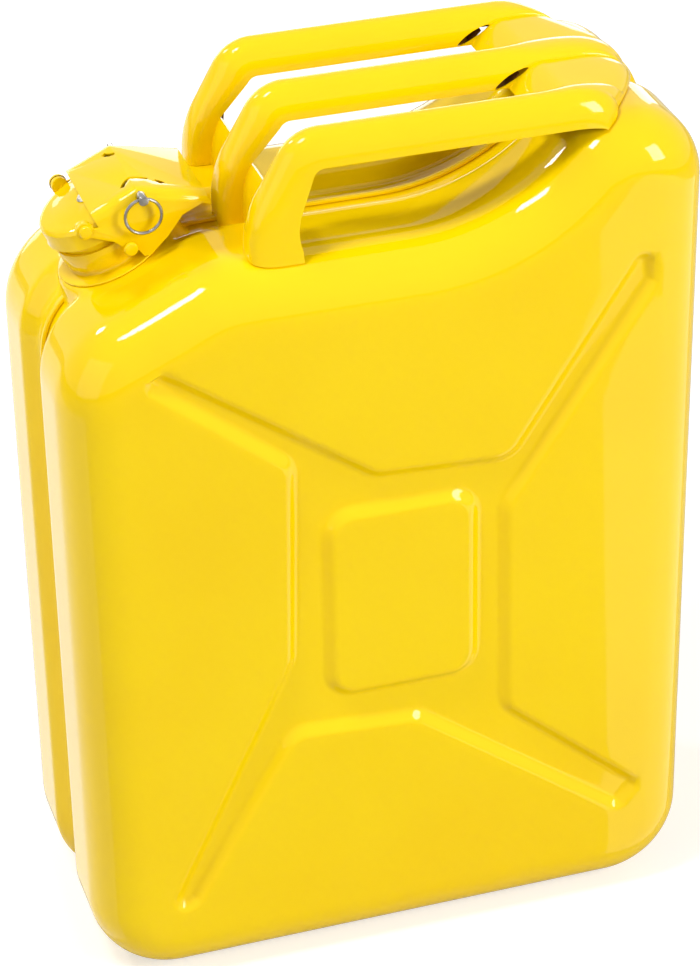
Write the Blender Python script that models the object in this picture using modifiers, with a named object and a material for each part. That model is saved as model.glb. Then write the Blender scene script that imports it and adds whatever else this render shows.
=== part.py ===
"""Pressed-steel 20 litre fuel can with a triple-bar handle and a cam-lever closure.

Frame: +Z up, origin on the floor under the middle of the can. The spout is at -X, the rear hump
at +X, the broad faces are at -Y (near) and +Y (far). Run with blender --background --python part.py
"""
import math

import bmesh
import bpy
import numpy as np
from mathutils import Matrix, Vector

MM = 0.001
GAP = 0.3 * MM                 # space kept between two touching pieces
SHEET = 1.0 * MM               # steel of the two half shells

# --- can body -------------------------------------------------------------------------------
BODY_WIDTH = 339.0 * MM
BODY_DEPTH = 166.0 * MM
SADDLE_TOP = 421.5 * MM        # level top under the handle
HUMP_RISE = 48.5 * MM          # the rear hump above the level top
HUMP_LENGTH = 59.0 * MM        # rear side to the corner where the hump's front slope starts
HUMP_REAR_RADIUS = 39.0 * MM
HUMP_FRONT_RADIUS = 44.0 * MM
HUMP_VALLEY_RADIUS = 110.0 * MM
HUMP_SLOPE = math.radians(45.0)
SHOULDER_LENGTH = 79.5 * MM    # front side to where the level top starts
SHOULDER_RADIUS = 62.0 * MM
SHOULDER_SLOPE = math.radians(25.0)
FRONT_RADIUS = 50.0 * MM
FOOT_RADIUS = 46.0 * MM        # lower corners, seen from the broad side
FACE_EDGE_RADIUS = 30.0 * MM   # rounding between a broad face and the narrow sides
SEAM_HALF_WIDTH = 21.0 * MM    # recessed weld groove round the narrow sides
SEAM_FLOOR_HALF_WIDTH = 13.0 * MM
SEAM_DEPTH = 8.0 * MM
FLANGE_HEIGHT = 3.0 * MM       # weld flange that stands in the groove
FLANGE_THICKNESS = 1.2 * MM

BODY_TOP = SADDLE_TOP + HUMP_RISE
FRONT_X = -BODY_WIDTH / 2.0
REAR_X = BODY_WIDTH / 2.0
SHOULDER_X = FRONT_X + SHOULDER_LENGTH
HUMP_FRONT_X = REAR_X - HUMP_LENGTH

# --- pressed pattern of a broad face ----------------------------------------------------------
CROSS_DEPTH = 4.5 * MM         # the cross lies this deep under the fields between its arms
CROSS_SLOPE = 7.0 * MM         # width of the sloping edge, half of it on each side of the outline
CROSS_CORNER_RADIUS = 15.0 * MM
CROSS_TIP_RADIUS = 4.4 * MM
CROSS_SHARES = (               # middle of the slope, anticlockwise: share of half the body's width,
                               # share of the level top's height, and True at the arms' tips
    (-0.7729, 0.1068, True), (-0.6844, 0.1234, True),
    (-0.3540, 0.3535, False), (0.0590, 0.3440, False),
    (0.7434, 0.1352, True), (0.8083, 0.1684, True),
    (0.3481, 0.3298, False), (0.3422, 0.6311, False),
    (0.8083, 0.9110, True), (0.7906, 0.9632, True),
    (0.3599, 0.6975, False), (-0.0708, 0.7070, False),
    (-0.7906, 0.9134, True), (-0.7463, 0.8754, True),
    (-0.3304, 0.7402, False), (-0.3481, 0.4603, False),
)
PANEL_CENTRE = (1.8 * MM, 0.5276 * SADDLE_TOP)
PANEL_HALF_WIDTH = 0.236 * REAR_X
PANEL_HALF_HEIGHT = 0.1317 * SADDLE_TOP
PANEL_RADIUS = 14.0 * MM
FILL_BAR_CENTRE = (0.0, SADDLE_TOP - 26.5 * MM)
FILL_BAR_LENGTH = 40.0 * MM    # small raised bar above the cross
FILL_BAR_WIDTH = 5.0 * MM
FILL_BAR_HEIGHT = 0.8 * MM

# --- handle -----------------------------------------------------------------------------------
HAND_ROOM = 46.0 * MM          # level top to the bars' lips
BAR_DEPTH = 17.5 * MM          # top of a bar to its lower lips
BAR_RADIUS = 11.0 * MM         # outer half width of a bar
BAR_PITCH = 58.0 * MM
HANDLE_SHEET = 1.6 * MM
BEND_RADIUS = 24.0 * MM
BEND_ANGLE = math.radians(62.0)
LEG_FOOT_SETBACK = 20.0 * MM   # start of the level top to the legs' feet
LEG_KNEE_RISE = 18.0 * MM
LEG_KNEE_RADIUS = 60.0 * MM
LEG_DEPTH = 27.0 * MM          # depth of the channel at a leg's foot
BAR_SETBACK = 61.0 * MM        # start of the level top to the bars' straight run
WEB_DEPTH = 12.0 * MM          # the webs between the legs lie this deep
LEG_WEB_DROP = 27.0 * MM       # the webs between the legs end this far under the bars' tops
SLOT_END_OFFSET = -26.5 * MM   # the slots' rear ends, from the hump's front corner
REAR_START_OFFSET = -8.5 * MM  # the rear foot has its full shape from here on
REAR_END_OFFSET = 13.5 * MM    # its corners
REAR_SPREAD = 26.0 * MM        # the middle of the rear foot reaches this far behind its corners
REAR_CORNER_CUT = 9.0 * MM
REAR_WEB_DEPTH = 5.0 * MM      # the rear foot's webs rise this near to the bars' tops
REAR_FALL = 2.0 * MM
REAR_SHARES = (0.0, 0.12, 0.24, 0.36, 0.5, 0.65, 0.78, 0.88, 0.94, 0.98, 1.0)
ARCH_STEPS = 8                 # facets across one bar
WEB_STEPS = 4                  # facets across one web
TURN_STEPS = 30                # facets round a turned piece

HANDLE_TOP = SADDLE_TOP + HAND_ROOM + BAR_DEPTH
LEG_FOOT_X = SHOULDER_X + LEG_FOOT_SETBACK
LEG_KNEE_Z = SADDLE_TOP + LEG_KNEE_RISE
BAR_START_X = SHOULDER_X + BAR_SETBACK
SLOT_REAR_X = HUMP_FRONT_X + SLOT_END_OFFSET
REAR_START_X = HUMP_FRONT_X + REAR_START_OFFSET
HANDLE_REAR_X = HUMP_FRONT_X + REAR_END_OFFSET

# --- neck and collar; places are (t up the shoulder, n along the neck) --------------------------
PLAY = 0.1 * MM                # running clearance of a pin in its hole
NECK_SETBACK = 47.5 * MM       # front side to the neck's axis
NECK_RADIUS = 23.5 * MM
NECK_WALL = 1.5 * MM
NECK_HEIGHT = 29.5 * MM
NECK_SPIGOT = 6.0 * MM         # length of the neck inside the can
RIM_ROLL = 1.2 * MM            # the rolled rim stands out this far
RIM_HEIGHT = 3.0 * MM
PAD_RADIUS = 33.0 * MM         # drawn boss of the shells under the neck
PAD_HEIGHT = 1.4 * MM
PAD_DROP = 16.0 * MM           # the boss starts this far under the shoulder
COLLAR_BOTTOM = 7.0 * MM
COLLAR_HEIGHT = 10.0 * MM
COLLAR_SHEET = 1.6 * MM
COLLAR_EAR_SHEET = 2.0 * MM
TRUNNION_T = 7.0 * MM
TRUNNION_RADIUS = 2.4 * MM
TRUNNION_HEAD = 1.5 * MM       # the head is this much larger than the stud, and this long
TRUNNION_BOSS = 2.0 * MM       # wall of the boss round the stud
HINGE_REACH = 8.0 * MM         # neck's outside to the hinge
HINGE_RISE = 1.3 * MM          # collar's top to the hinge
HINGE_PIN_RADIUS = 2.0 * MM
HINGE_HEAD = 1.5 * MM
EAR_WALL = 2.8 * MM            # metal of an ear round its hole

# --- lid ----------------------------------------------------------------------------------------
LID_CLEARANCE = 0.9 * MM       # rolled rim to the lid's inside
LID_SHEET = 1.2 * MM
LID_SKIRT = 12.0 * MM
LID_FLARE = 0.8 * MM
LID_STEP = 0.8 * MM            # raised centre of the lid
LID_STEP_RADIUS = 16.5 * MM
LID_EAR_Y = 5.0 * MM           # inner face of an ear
LID_EAR_SHEET = 2.0 * MM
GASKET_THICKNESS = 1.9 * MM
GASKET_WIDTH = 5.4 * MM
RETAINER_SHEET = 1.0 * MM
RETAINER_CLEARANCE = 1.6 * MM  # retainer's edge to the neck's inside
RIVET_RADIUS = 2.0 * MM
RIVET_HEAD_RADIUS = 4.0 * MM

# --- lever, pins and ring ---------------------------------------------------------------------------
LEVER_SHEET = 1.5 * MM
LEVER_CLEARANCE = 1.3 * MM     # lid's outside to the cheeks
LEVER_ROOM = 2.9 * MM          # lid's top to the roof
ROOF_EDGE_RADIUS = 6.5 * MM
ROOF_START = -1.3 * MM
ROOF_END = 24.0 * MM
NOTCH_DEPTH = 7.4 * MM         # roof down to the notch between it and the pivot lobe
TAIL_END = (53.0 * MM, 17.0 * MM)
TAIL_EDGE = ((-0.5, -6.7), (-4.0, -3.6), (-15.5, -3.6))     # lower edge in mm, from TAIL_END
CLAW_EDGE = ((18.7, -4.9), (7.1, -8.8), (4.0, -7.6))         # outside in mm, from the trunnion
CLAW_LIP = 2.7 * MM            # the claw's flat seat past the trunnion's middle
CLAW_BACK = ((-5.3, 8.0),)                                    # in mm, from the trunnion
PIVOT_T = -7.8 * MM
PIVOT_DROP = 0.8 * MM          # lid's top to the lever's pivot
PIVOT_RADIUS = 2.2 * MM
PIVOT_HEAD = 1.4 * MM
PIVOT_BOSS = 2.0 * MM
LOBE_WALL = 2.3 * MM           # metal of the lever round its pivot
LOCK_PIN_T = 24.4 * MM
LOCK_PIN_RADIUS = 1.4 * MM
LOCK_PIN_HEAD = 2.5 * MM
LOCK_PIN_END = 2.4 * MM        # length of the pin past the far cheek
LOCK_HEAD_LENGTH = 6.8 * MM
EYE_OFFSET = 4.8 * MM          # near cheek to the middle of the ring's eye
SLOT_RADII = (8.9 * MM, 11.4 * MM)
SLOT_CENTRE = (28.0 * MM, 4.0 * MM)                  # t, and distance from a cheek's inside
NEAR_SLOT_ANGLES = ((68.0, 156.0), (26.0, 54.0))
FAR_SLOT_ANGLES = ((112.0, 156.0),)
RING_RADIUS = 9.2 * MM
RING_WIRE_RADIUS = 0.9 * MM
EYE_CLEARANCE = 0.5 * MM

# --- air tube in the can ----------------------------------------------------------------------------
BREATHER_RADIUS = 4.5 * MM
BREATHER_CLEARANCE = 2.0 * MM  # neck's inside to the tube
BREATHER_TOP = 4.0 * MM        # the tube ends this far under the neck's rim
BREATHER_DEPTH = 26.0 * MM     # level top down to the tube's level run
BREATHER_END_DROP = 22.0 * MM  # hump's top down to the tube's open end
CLIP_SHEET = 1.4 * MM
CLIP_LENGTH = 6.0 * MM

NECK_X = FRONT_X + NECK_SETBACK
NECK_Z = SADDLE_TOP - (SHOULDER_X - NECK_X) * math.tan(SHOULDER_SLOPE)
NECK_INSIDE = NECK_RADIUS - NECK_WALL
COLLAR_TOP = COLLAR_BOTTOM + COLLAR_HEIGHT
COLLAR_RADIUS = NECK_RADIUS + GAP + COLLAR_SHEET
TRUNNION_PLACE = (TRUNNION_T, COLLAR_BOTTOM + COLLAR_HEIGHT / 2.0)
TRUNNION_SEAT = COLLAR_RADIUS + 0.7 * MM
HINGE_PLACE = (NECK_RADIUS + HINGE_REACH, COLLAR_TOP + HINGE_RISE)
EAR_RADIUS = HINGE_PIN_RADIUS + EAR_WALL
LID_RADIUS = NECK_RADIUS + RIM_ROLL + LID_CLEARANCE + LID_SHEET
LID_INSIDE = LID_RADIUS - LID_SHEET
LID_SEAT = NECK_HEIGHT + 2.0 * GAP + GASKET_THICKNESS + LID_SHEET
LID_TOP = LID_SEAT + LID_STEP
LID_BOTTOM = LID_TOP - LID_SKIRT
LID_EAR_FACES = (LID_EAR_Y, LID_EAR_Y + LID_EAR_SHEET)
COLLAR_EAR_FACES = (LID_EAR_FACES[1] + GAP, LID_EAR_FACES[1] + GAP + COLLAR_EAR_SHEET)
LEVER_INSIDE = LID_RADIUS + LEVER_CLEARANCE
LEVER_HALF_WIDTH = LEVER_INSIDE + LEVER_SHEET
LEVER_UNDER = LID_TOP + LEVER_ROOM
LEVER_TOP = LEVER_UNDER + LEVER_SHEET
PIVOT_PLACE = (PIVOT_T, LID_TOP - PIVOT_DROP)
PIVOT_SEAT = LID_RADIUS - 1.1 * MM
LOCK_PIN_PLACE = (LOCK_PIN_T, LEVER_UNDER - LOCK_PIN_RADIUS - 0.7 * MM)
RING_EYE_Y = -LEVER_HALF_WIDTH - EYE_OFFSET
BREATHER_T = NECK_INSIDE - BREATHER_RADIUS - BREATHER_CLEARANCE

YELLOW = (0.93, 0.69, 0.01, 1.0)
STEEL = (0.55, 0.55, 0.57, 1.0)
BLACK = (0.02, 0.02, 0.02, 1.0)


def reset_scene():
    """Remove every object and make the collections for the parts and the cutters."""
    for item in list(bpy.data.objects):
        bpy.data.objects.remove(item, do_unlink=True)
    parts = bpy.data.collections.new("safety_gas_can")
    tools = bpy.data.collections.new("cutters")
    bpy.context.scene.collection.children.link(parts)
    bpy.context.scene.collection.children.link(tools)
    return parts, tools


PARTS, TOOLS = reset_scene()


def paint(name, colour, metallic, roughness):
    """A Principled material for one part."""
    material = bpy.data.materials.new(name)
    material.use_nodes = True
    shader = material.node_tree.nodes["Principled BSDF"]
    shader.inputs["Base Color"].default_value = colour
    shader.inputs["Metallic"].default_value = metallic
    shader.inputs["Roughness"].default_value = roughness
    return material


def make_object(name, mesh, collection=None):
    """Link a new object that carries the mesh; without a collection it is a cutter."""
    item = bpy.data.objects.new(name, mesh)
    (collection or TOOLS).objects.link(item)
    if collection is None:
        item.hide_render = True
        item.display_type = "WIRE"
    return item


def mesh_from(name, builder):
    """Turn a closed bmesh into a mesh with its faces pointing out."""
    bmesh.ops.recalc_face_normals(builder, faces=builder.faces)
    if builder.calc_volume(signed=True) < 0.0:
        bmesh.ops.reverse_faces(builder, faces=builder.faces)
    mesh = bpy.data.meshes.new(name)
    builder.to_mesh(mesh)
    builder.free()
    return mesh


def settle(item):
    """Replace an object's mesh by what its modifiers make of it, in world space."""
    graph = bpy.context.evaluated_depsgraph_get()
    graph.update()
    mesh = bpy.data.meshes.new_from_object(item.evaluated_get(graph))
    item.modifiers.clear()
    item.data = mesh
    mesh.transform(item.matrix_world)
    item.matrix_world = Matrix.Identity(4)
    bpy.context.view_layer.update()
    return item


def combine(item, other, operation, solver):
    """Apply one Boolean and drop the second object."""
    change = item.modifiers.new(operation.lower(), "BOOLEAN")
    change.operation = operation
    change.solver = solver
    change.object = other
    bpy.context.view_layer.update()
    settle(item)
    bpy.data.objects.remove(other, do_unlink=True)
    return item


def cut(item, cutter, solver="EXACT"):
    return combine(item, cutter, "DIFFERENCE", solver)


def join(item, other, solver="EXACT"):
    return combine(item, other, "UNION", solver)


def finish_part(item, name, material, joint_place=None, angle=35.0):
    """Name a part, move it to the parts, shade it and put its origin on its joint."""
    item.name = name
    item.data.name = name
    for collection in list(item.users_collection):
        collection.objects.unlink(item)
    PARTS.objects.link(item)
    item.hide_render = False
    item.display_type = "TEXTURED"
    cleaner = bmesh.new()
    cleaner.from_mesh(item.data)
    bmesh.ops.remove_doubles(cleaner, verts=cleaner.verts, dist=0.003 * MM)
    bmesh.ops.dissolve_degenerate(cleaner, edges=cleaner.edges, dist=0.003 * MM)
    cleaner.to_mesh(item.data)
    cleaner.free()
    item.data.materials.clear()
    item.data.materials.append(material)
    item.data.shade_smooth()
    item.data.set_sharp_from_angle(angle=math.radians(angle))
    if joint_place is not None:
        item.data.transform(Matrix.Translation(-joint_place))
        item.location = joint_place
    return item


# --- outlines ---------------------------------------------------------------------------------

def rounded_outline(corners, step=math.radians(16.0)):
    """Points and outward normals of an anticlockwise polygon whose corners carry fillets.

    corners: (x, z, radius). Each fillet becomes an arc with the tangent points at both ends.
    """
    points = []
    normals = []
    count = len(corners)
    for index in range(count):
        here = np.array(corners[index][:2])
        before = np.array(corners[index - 1][:2])
        after = np.array(corners[(index + 1) % count][:2])
        radius = corners[index][2]
        into = (here - before) / np.linalg.norm(here - before)
        out = (after - here) / np.linalg.norm(after - here)
        turn = math.atan2(into[0] * out[1] - into[1] * out[0], float(into @ out))
        tangent = radius * math.tan(abs(turn) / 2.0)
        start_normal = np.array((into[1], -into[0]))
        side = 1.0 if turn > 0.0 else -1.0
        centre = here - into * tangent - start_normal * radius * side
        pieces = max(1, round(abs(turn) / step))
        for number in range(pieces + 1):
            angle = turn * number / pieces
            spin = np.array(((math.cos(angle), -math.sin(angle)), (math.sin(angle), math.cos(angle))))
            normal = spin @ start_normal
            points.append(centre + normal * radius * side)
            normals.append(normal)
    return np.array(points), np.array(normals)


def body_corners():
    """The can's outline on the broad side, anticlockwise from the lower front corner."""
    valley_x = HUMP_FRONT_X - HUMP_RISE / math.tan(HUMP_SLOPE)
    front_z = SADDLE_TOP - SHOULDER_LENGTH * math.tan(SHOULDER_SLOPE)
    return [
        (FRONT_X, 0.0, FOOT_RADIUS),
        (REAR_X, 0.0, FOOT_RADIUS),
        (REAR_X, BODY_TOP, HUMP_REAR_RADIUS),
        (HUMP_FRONT_X, BODY_TOP, HUMP_FRONT_RADIUS),
        (valley_x, SADDLE_TOP, HUMP_VALLEY_RADIUS),
        (SHOULDER_X, SADDLE_TOP, SHOULDER_RADIUS),
        (FRONT_X, front_z, FRONT_RADIUS),
    ]


BODY_POINTS, BODY_NORMALS = rounded_outline(body_corners())


def outer_section():
    """(distance from the seam plane, inset) down the outside of a half shell."""
    half = BODY_DEPTH / 2.0
    start = half - FACE_EDGE_RADIUS
    rows = [
        (-1.0 * MM, SEAM_DEPTH - FLANGE_HEIGHT),
        (FLANGE_THICKNESS, SEAM_DEPTH - FLANGE_HEIGHT),
        (FLANGE_THICKNESS, SEAM_DEPTH),
        (SEAM_FLOOR_HALF_WIDTH, SEAM_DEPTH),
        (SEAM_HALF_WIDTH - 2.0 * MM, SEAM_DEPTH * 0.18),
        (SEAM_HALF_WIDTH + 2.0 * MM, 0.0),
    ]
    steps = 6
    for number in range(steps + 1):
        angle = math.pi / 2.0 * number / steps
        rows.append((start + FACE_EDGE_RADIUS * math.sin(angle),
                     FACE_EDGE_RADIUS * (1.0 - math.cos(angle))))
    return rows


def inner_section():
    """The same for the inside, one sheet thickness further in and open past the seam."""
    half = BODY_DEPTH / 2.0
    start = half - FACE_EDGE_RADIUS
    radius = FACE_EDGE_RADIUS - SHEET
    rows = [
        (-2.0 * MM, SEAM_DEPTH + SHEET),
        (SEAM_FLOOR_HALF_WIDTH, SEAM_DEPTH + SHEET),
        (SEAM_HALF_WIDTH - 1.6 * MM, SEAM_DEPTH * 0.18 + SHEET),
        (SEAM_HALF_WIDTH + 2.0 * MM, SHEET),
    ]
    steps = 5
    for number in range(steps + 1):
        angle = math.pi / 2.0 * number / steps
        rows.append((start + radius * math.sin(angle), SHEET + radius * (1.0 - math.cos(angle))))
    return rows


def top_height(x, y):
    """Height of the can's top at a place, from the same outline and section."""
    rows = outer_section()
    inset = float(np.interp(abs(y), [row[0] for row in rows], [row[1] for row in rows]))
    moved = BODY_POINTS - BODY_NORMALS * inset
    upper = [point for point, normal in zip(moved, BODY_NORMALS) if normal[1] > 0.05]
    upper.sort(key=lambda point: point[0])
    return float(np.interp(x, [point[0] for point in upper], [point[1] for point in upper]))


def stack_rings(name, points, normals, rows, side=-1.0):
    """Closed solid through copies of an outline in the XZ plane, each inset and set off in Y."""
    builder = bmesh.new()
    rings = []
    for distance, inset in rows:
        moved = points - normals * inset
        rings.append([builder.verts.new((x, side * distance, z)) for x, z in moved])
    count = len(points)
    for lower, upper in zip(rings, rings[1:]):
        for index in range(count):
            after = (index + 1) % count
            builder.faces.new((lower[index], lower[after], upper[after], upper[index]))
    builder.faces.new(rings[0])
    builder.faces.new(rings[-1])
    return make_object(name, mesh_from(name, builder))


# --- basic solids -----------------------------------------------------------------------------

def box(name, low, high):
    builder = bmesh.new()
    bmesh.ops.create_cube(builder, size=1.0)
    low = Vector(low)
    high = Vector(high)
    bmesh.ops.scale(builder, vec=high - low, verts=builder.verts)
    bmesh.ops.translate(builder, vec=(high + low) / 2.0, verts=builder.verts)
    return make_object(name, mesh_from(name, builder))


def cylinder(name, start, end, radius, sides=24, end_radius=None):
    """Cylinder or cone between two points."""
    start = Vector(start)
    end = Vector(end)
    builder = bmesh.new()
    bmesh.ops.create_cone(builder, cap_ends=True, segments=sides, radius1=radius,
                          radius2=end_radius or radius, depth=(end - start).length)
    turn = (end - start).to_track_quat("Z", "Y").to_matrix().to_4x4()
    place = Matrix.Translation((start + end) / 2.0) @ turn
    bmesh.ops.transform(builder, matrix=place, verts=builder.verts)
    return make_object(name, mesh_from(name, builder))


def turned(name, profile, steps=40):
    """A closed profile (radius, height) turned about the local Z axis with a Screw modifier."""
    builder = bmesh.new()
    verts = [builder.verts.new((radius, 0.0, height)) for radius, height in profile]
    for first, second in zip(verts, verts[1:] + verts[:1]):
        builder.edges.new((first, second))
    mesh = bpy.data.meshes.new(name)
    builder.to_mesh(mesh)
    builder.free()
    item = make_object(name, mesh)
    turn = item.modifiers.new("turn", "SCREW")
    turn.steps = steps
    turn.render_steps = steps
    turn.use_merge_vertices = True
    turn.merge_threshold = 0.00001
    turn.use_normal_calculate = True
    settle(item)
    builder = bmesh.new()
    builder.from_mesh(item.data)
    bmesh.ops.remove_doubles(builder, verts=builder.verts, dist=0.00001)
    item.data = mesh_from(name, builder)
    return item


def plate(name, outline, low, high, bevel=0.0, segments=2):
    """Flat outline (t, n) in the closure's own plane, thick from low to high in Y."""
    builder = bmesh.new()
    verts = [builder.verts.new((t, low, n)) for t, n in outline]
    face = builder.faces.new(verts)
    grown = bmesh.ops.extrude_face_region(builder, geom=[face])
    moved = [item for item in grown["geom"] if isinstance(item, bmesh.types.BMVert)]
    bmesh.ops.translate(builder, vec=(0.0, high - low, 0.0), verts=moved)
    item = make_object(name, mesh_from(name, builder))
    if bevel > 0.0:
        edge = item.modifiers.new("edge", "BEVEL")
        edge.width = bevel
        edge.segments = segments
        edge.limit_method = "ANGLE"
        edge.angle_limit = math.radians(60.0)
        settle(item)
    return item


# --- closure frame: t up the shoulder, n along the neck -----------------------------------------

CLOSURE = (Matrix.Translation((NECK_X, 0.0, NECK_Z))
           @ Matrix.Rotation(-SHOULDER_SLOPE, 4, "Y"))


def closure_point(place, y=0.0):
    """World place of (t, n) in the closure's frame."""
    return CLOSURE @ Vector((place[0], y, place[1]))


def to_closure(item):
    """Carry a piece modelled upright on the shoulder to its place on the can."""
    item.data.transform(CLOSURE)
    item.data.update()
    return item


# --- the two half shells ------------------------------------------------------------------------

SHELL_SOLVER = "MANIFOLD"      # the exact solver loses walls of these thin, nearly flat shells

def cross_corners():
    """The sunk cross of a broad face, anticlockwise, each arm ending in a blunt tip."""
    return [(x * REAR_X, z * SADDLE_TOP, CROSS_TIP_RADIUS if tip else CROSS_CORNER_RADIUS)
            for x, z, tip in CROSS_SHARES]


def panel_corners():
    """The raised centre panel, anticlockwise."""
    x, z = PANEL_CENTRE
    signs = ((-1, -1), (1, -1), (1, 1), (-1, 1))
    return [(x + a * PANEL_HALF_WIDTH, z + b * PANEL_HALF_HEIGHT, PANEL_RADIUS) for a, b in signs]


def cross_cutter(name, depth_offset, spread, side):
    """Solid that sinks the cross into a face, with the centre panel left standing."""
    face = BODY_DEPTH / 2.0 - depth_offset
    floor = face - CROSS_DEPTH
    above = face + 6.0 * MM
    half_slope = CROSS_SLOPE / 2.0
    points, normals = rounded_outline(cross_corners(), math.radians(30.0))
    rows = [(floor, half_slope - spread), (face, -half_slope - spread), (above, -half_slope - spread)]
    cross = stack_rings(name, points, normals, rows, side)
    points, normals = rounded_outline(panel_corners(), math.radians(25.0))
    rows = [(floor - 2.0 * MM, spread - half_slope), (floor, spread - half_slope),
            (face, spread + half_slope), (above + 2.0 * MM, spread + half_slope)]
    panel = stack_rings(name + "_panel", points, normals, rows, side)
    return cut(cross, panel, SHELL_SOLVER)


def fill_bar(side):
    """Small bar pressed outwards above the cross; its inside is too shallow to follow."""
    face = BODY_DEPTH / 2.0
    x, z = FILL_BAR_CENTRE
    across = FILL_BAR_LENGTH / 2.0
    up = FILL_BAR_WIDTH / 2.0
    low = Vector((x - across, side * (face - 0.6 * SHEET), z - up))
    high = Vector((x + across, side * (face + FILL_BAR_HEIGHT), z + up))
    bar = box("fill_bar", (low.x, min(low.y, high.y), low.z), (high.x, max(low.y, high.y), high.z))
    edge = bar.modifiers.new("edge", "BEVEL")
    edge.width = FILL_BAR_HEIGHT * 0.8
    edge.segments = 2
    return settle(bar)


def neck_pad(name, radius, height):
    """Drawn round boss that carries the neck across the groove."""
    pad = cylinder(name, (0.0, 0.0, -PAD_DROP), (0.0, 0.0, height), radius, 40)
    return to_closure(pad)


def make_half_shell(name, side, material):
    """One deep-drawn half of the can; side is -1 for the near half and 1 for the far half."""
    outside = stack_rings(name, BODY_POINTS, BODY_NORMALS, outer_section(), side)
    cut(outside, cross_cutter("cross", 0.0, 0.0, side), SHELL_SOLVER)
    join(outside, neck_pad("pad", PAD_RADIUS, PAD_HEIGHT), SHELL_SOLVER)
    join(outside, fill_bar(side), SHELL_SOLVER)
    inside = stack_rings("cavity", BODY_POINTS, BODY_NORMALS, inner_section(), side)
    cut(inside, cross_cutter("cross_inside", SHEET, SHEET * 0.4, side), SHELL_SOLVER)
    join(inside, neck_pad("pad_inside", PAD_RADIUS - SHEET, PAD_HEIGHT - SHEET), SHELL_SOLVER)
    hole = cylinder("neck_hole", (0.0, 0.0, -25.0 * MM), (0.0, 0.0, 30.0 * MM),
                    NECK_RADIUS + GAP, 48)
    join(inside, to_closure(hole), SHELL_SOLVER)
    cut(outside, inside, SHELL_SOLVER)
    reach = 2.0 * BODY_TOP
    low = -GAP / 2.0 if side < 0.0 else -reach
    high = reach if side < 0.0 else GAP / 2.0
    cut(outside, box("other_half", (-reach, low, -reach), (reach, high, reach)), SHELL_SOLVER)
    return finish_part(outside, name, material)


# --- triple-bar handle ----------------------------------------------------------------------------

def rounded_path(corners, step=math.radians(10.0)):
    """Points and left-hand normals along an open path whose inner corners carry fillets."""
    points = []
    normals = []
    last = len(corners) - 1
    for index, (x, z, radius) in enumerate(corners):
        here = np.array((x, z))
        if index in (0, last):
            other = corners[1] if index == 0 else corners[last - 1]
            run = (np.array(other[:2]) - here) * (1.0 if index == 0 else -1.0)
            run = run / np.linalg.norm(run)
            points.append(here)
            normals.append(np.array((-run[1], run[0])))
            continue
        into = here - np.array(corners[index - 1][:2])
        into = into / np.linalg.norm(into)
        out = np.array(corners[index + 1][:2]) - here
        out = out / np.linalg.norm(out)
        turn = math.atan2(into[0] * out[1] - into[1] * out[0], float(into @ out))
        start_normal = np.array((-into[1], into[0]))
        side = -1.0 if turn < 0.0 else 1.0
        tangent = radius * math.tan(abs(turn) / 2.0)
        centre = here - into * tangent + start_normal * radius * side
        pieces = max(1, round(abs(turn) / step))
        for number in range(pieces + 1):
            angle = turn * number / pieces
            spin = np.array(((math.cos(angle), -math.sin(angle)), (math.sin(angle), math.cos(angle))))
            normal = spin @ start_normal
            points.append(centre - normal * radius * side)
            normals.append(normal)
    return points, normals


def handle_columns():
    """(y, crown, zone) across the handle: crown 1 on top of a bar, 0 at a lip or on a web.

    zone is "outer" for the two outermost flanks, "inner" elsewhere on a bar, "web" between bars.
    """
    columns = []
    for bar in (-1, 0, 1):
        for number in range(ARCH_STEPS + 1):
            angle = math.pi * number / ARCH_STEPS
            y = bar * BAR_PITCH - BAR_RADIUS * math.cos(angle)
            first_half = number * 2 < ARCH_STEPS
            outer = (bar == -1 and first_half) or (bar == 1 and number * 2 > ARCH_STEPS)
            columns.append((y, math.sin(angle), "outer" if outer else "inner"))
        if bar < 1:
            start = bar * BAR_PITCH + BAR_RADIUS
            width = BAR_PITCH - 2.0 * BAR_RADIUS
            for number in range(1, WEB_STEPS):
                columns.append((start + width * number / WEB_STEPS, 0.0, "web"))
    return columns


def leg_rows():
    """(origin, inward direction, outer depth, inner depth, has web) from the feet to the bars."""
    tangent = BEND_RADIUS * math.tan(BEND_ANGLE / 2.0)
    slant_x = LEG_FOOT_X + (HANDLE_TOP - LEG_KNEE_Z) / math.tan(BEND_ANGLE)
    corners = [
        (LEG_FOOT_X, SADDLE_TOP, 0.0),
        (LEG_FOOT_X, LEG_KNEE_Z, LEG_KNEE_RADIUS),
        (slant_x, HANDLE_TOP, BEND_RADIUS),
        (max(BAR_START_X, slant_x + tangent + 3.0 * MM), HANDLE_TOP, 0.0),
    ]
    points, normals = rounded_path(corners)
    rows = []
    web_end_z = HANDLE_TOP - LEG_WEB_DROP
    bend_z = HANDLE_TOP - BEND_RADIUS * (1.0 - math.cos(BEND_ANGLE))
    for point, normal in zip(points, normals):
        share = min(1.0, max(0.0, (point[1] - SADDLE_TOP) / (bend_z - SADDLE_TOP)))
        outer = LEG_DEPTH + (BAR_DEPTH - LEG_DEPTH) * share
        inner = WEB_DEPTH + (BAR_DEPTH - WEB_DEPTH) * max(0.0, share * 3.0 - 2.0)
        rows.append((point, -normal, outer, inner, point[1] < web_end_z))
    return rows


def handle_point(row, column):
    """Place of one column on one cross-section of the legs or bars."""
    origin, inward, outer, inner, _ = row
    y, crown, zone = column
    depth = (outer if zone == "outer" else inner) * (1.0 - crown)
    place = origin + inward * depth
    return Vector((place[0], y, place[1]))


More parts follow.
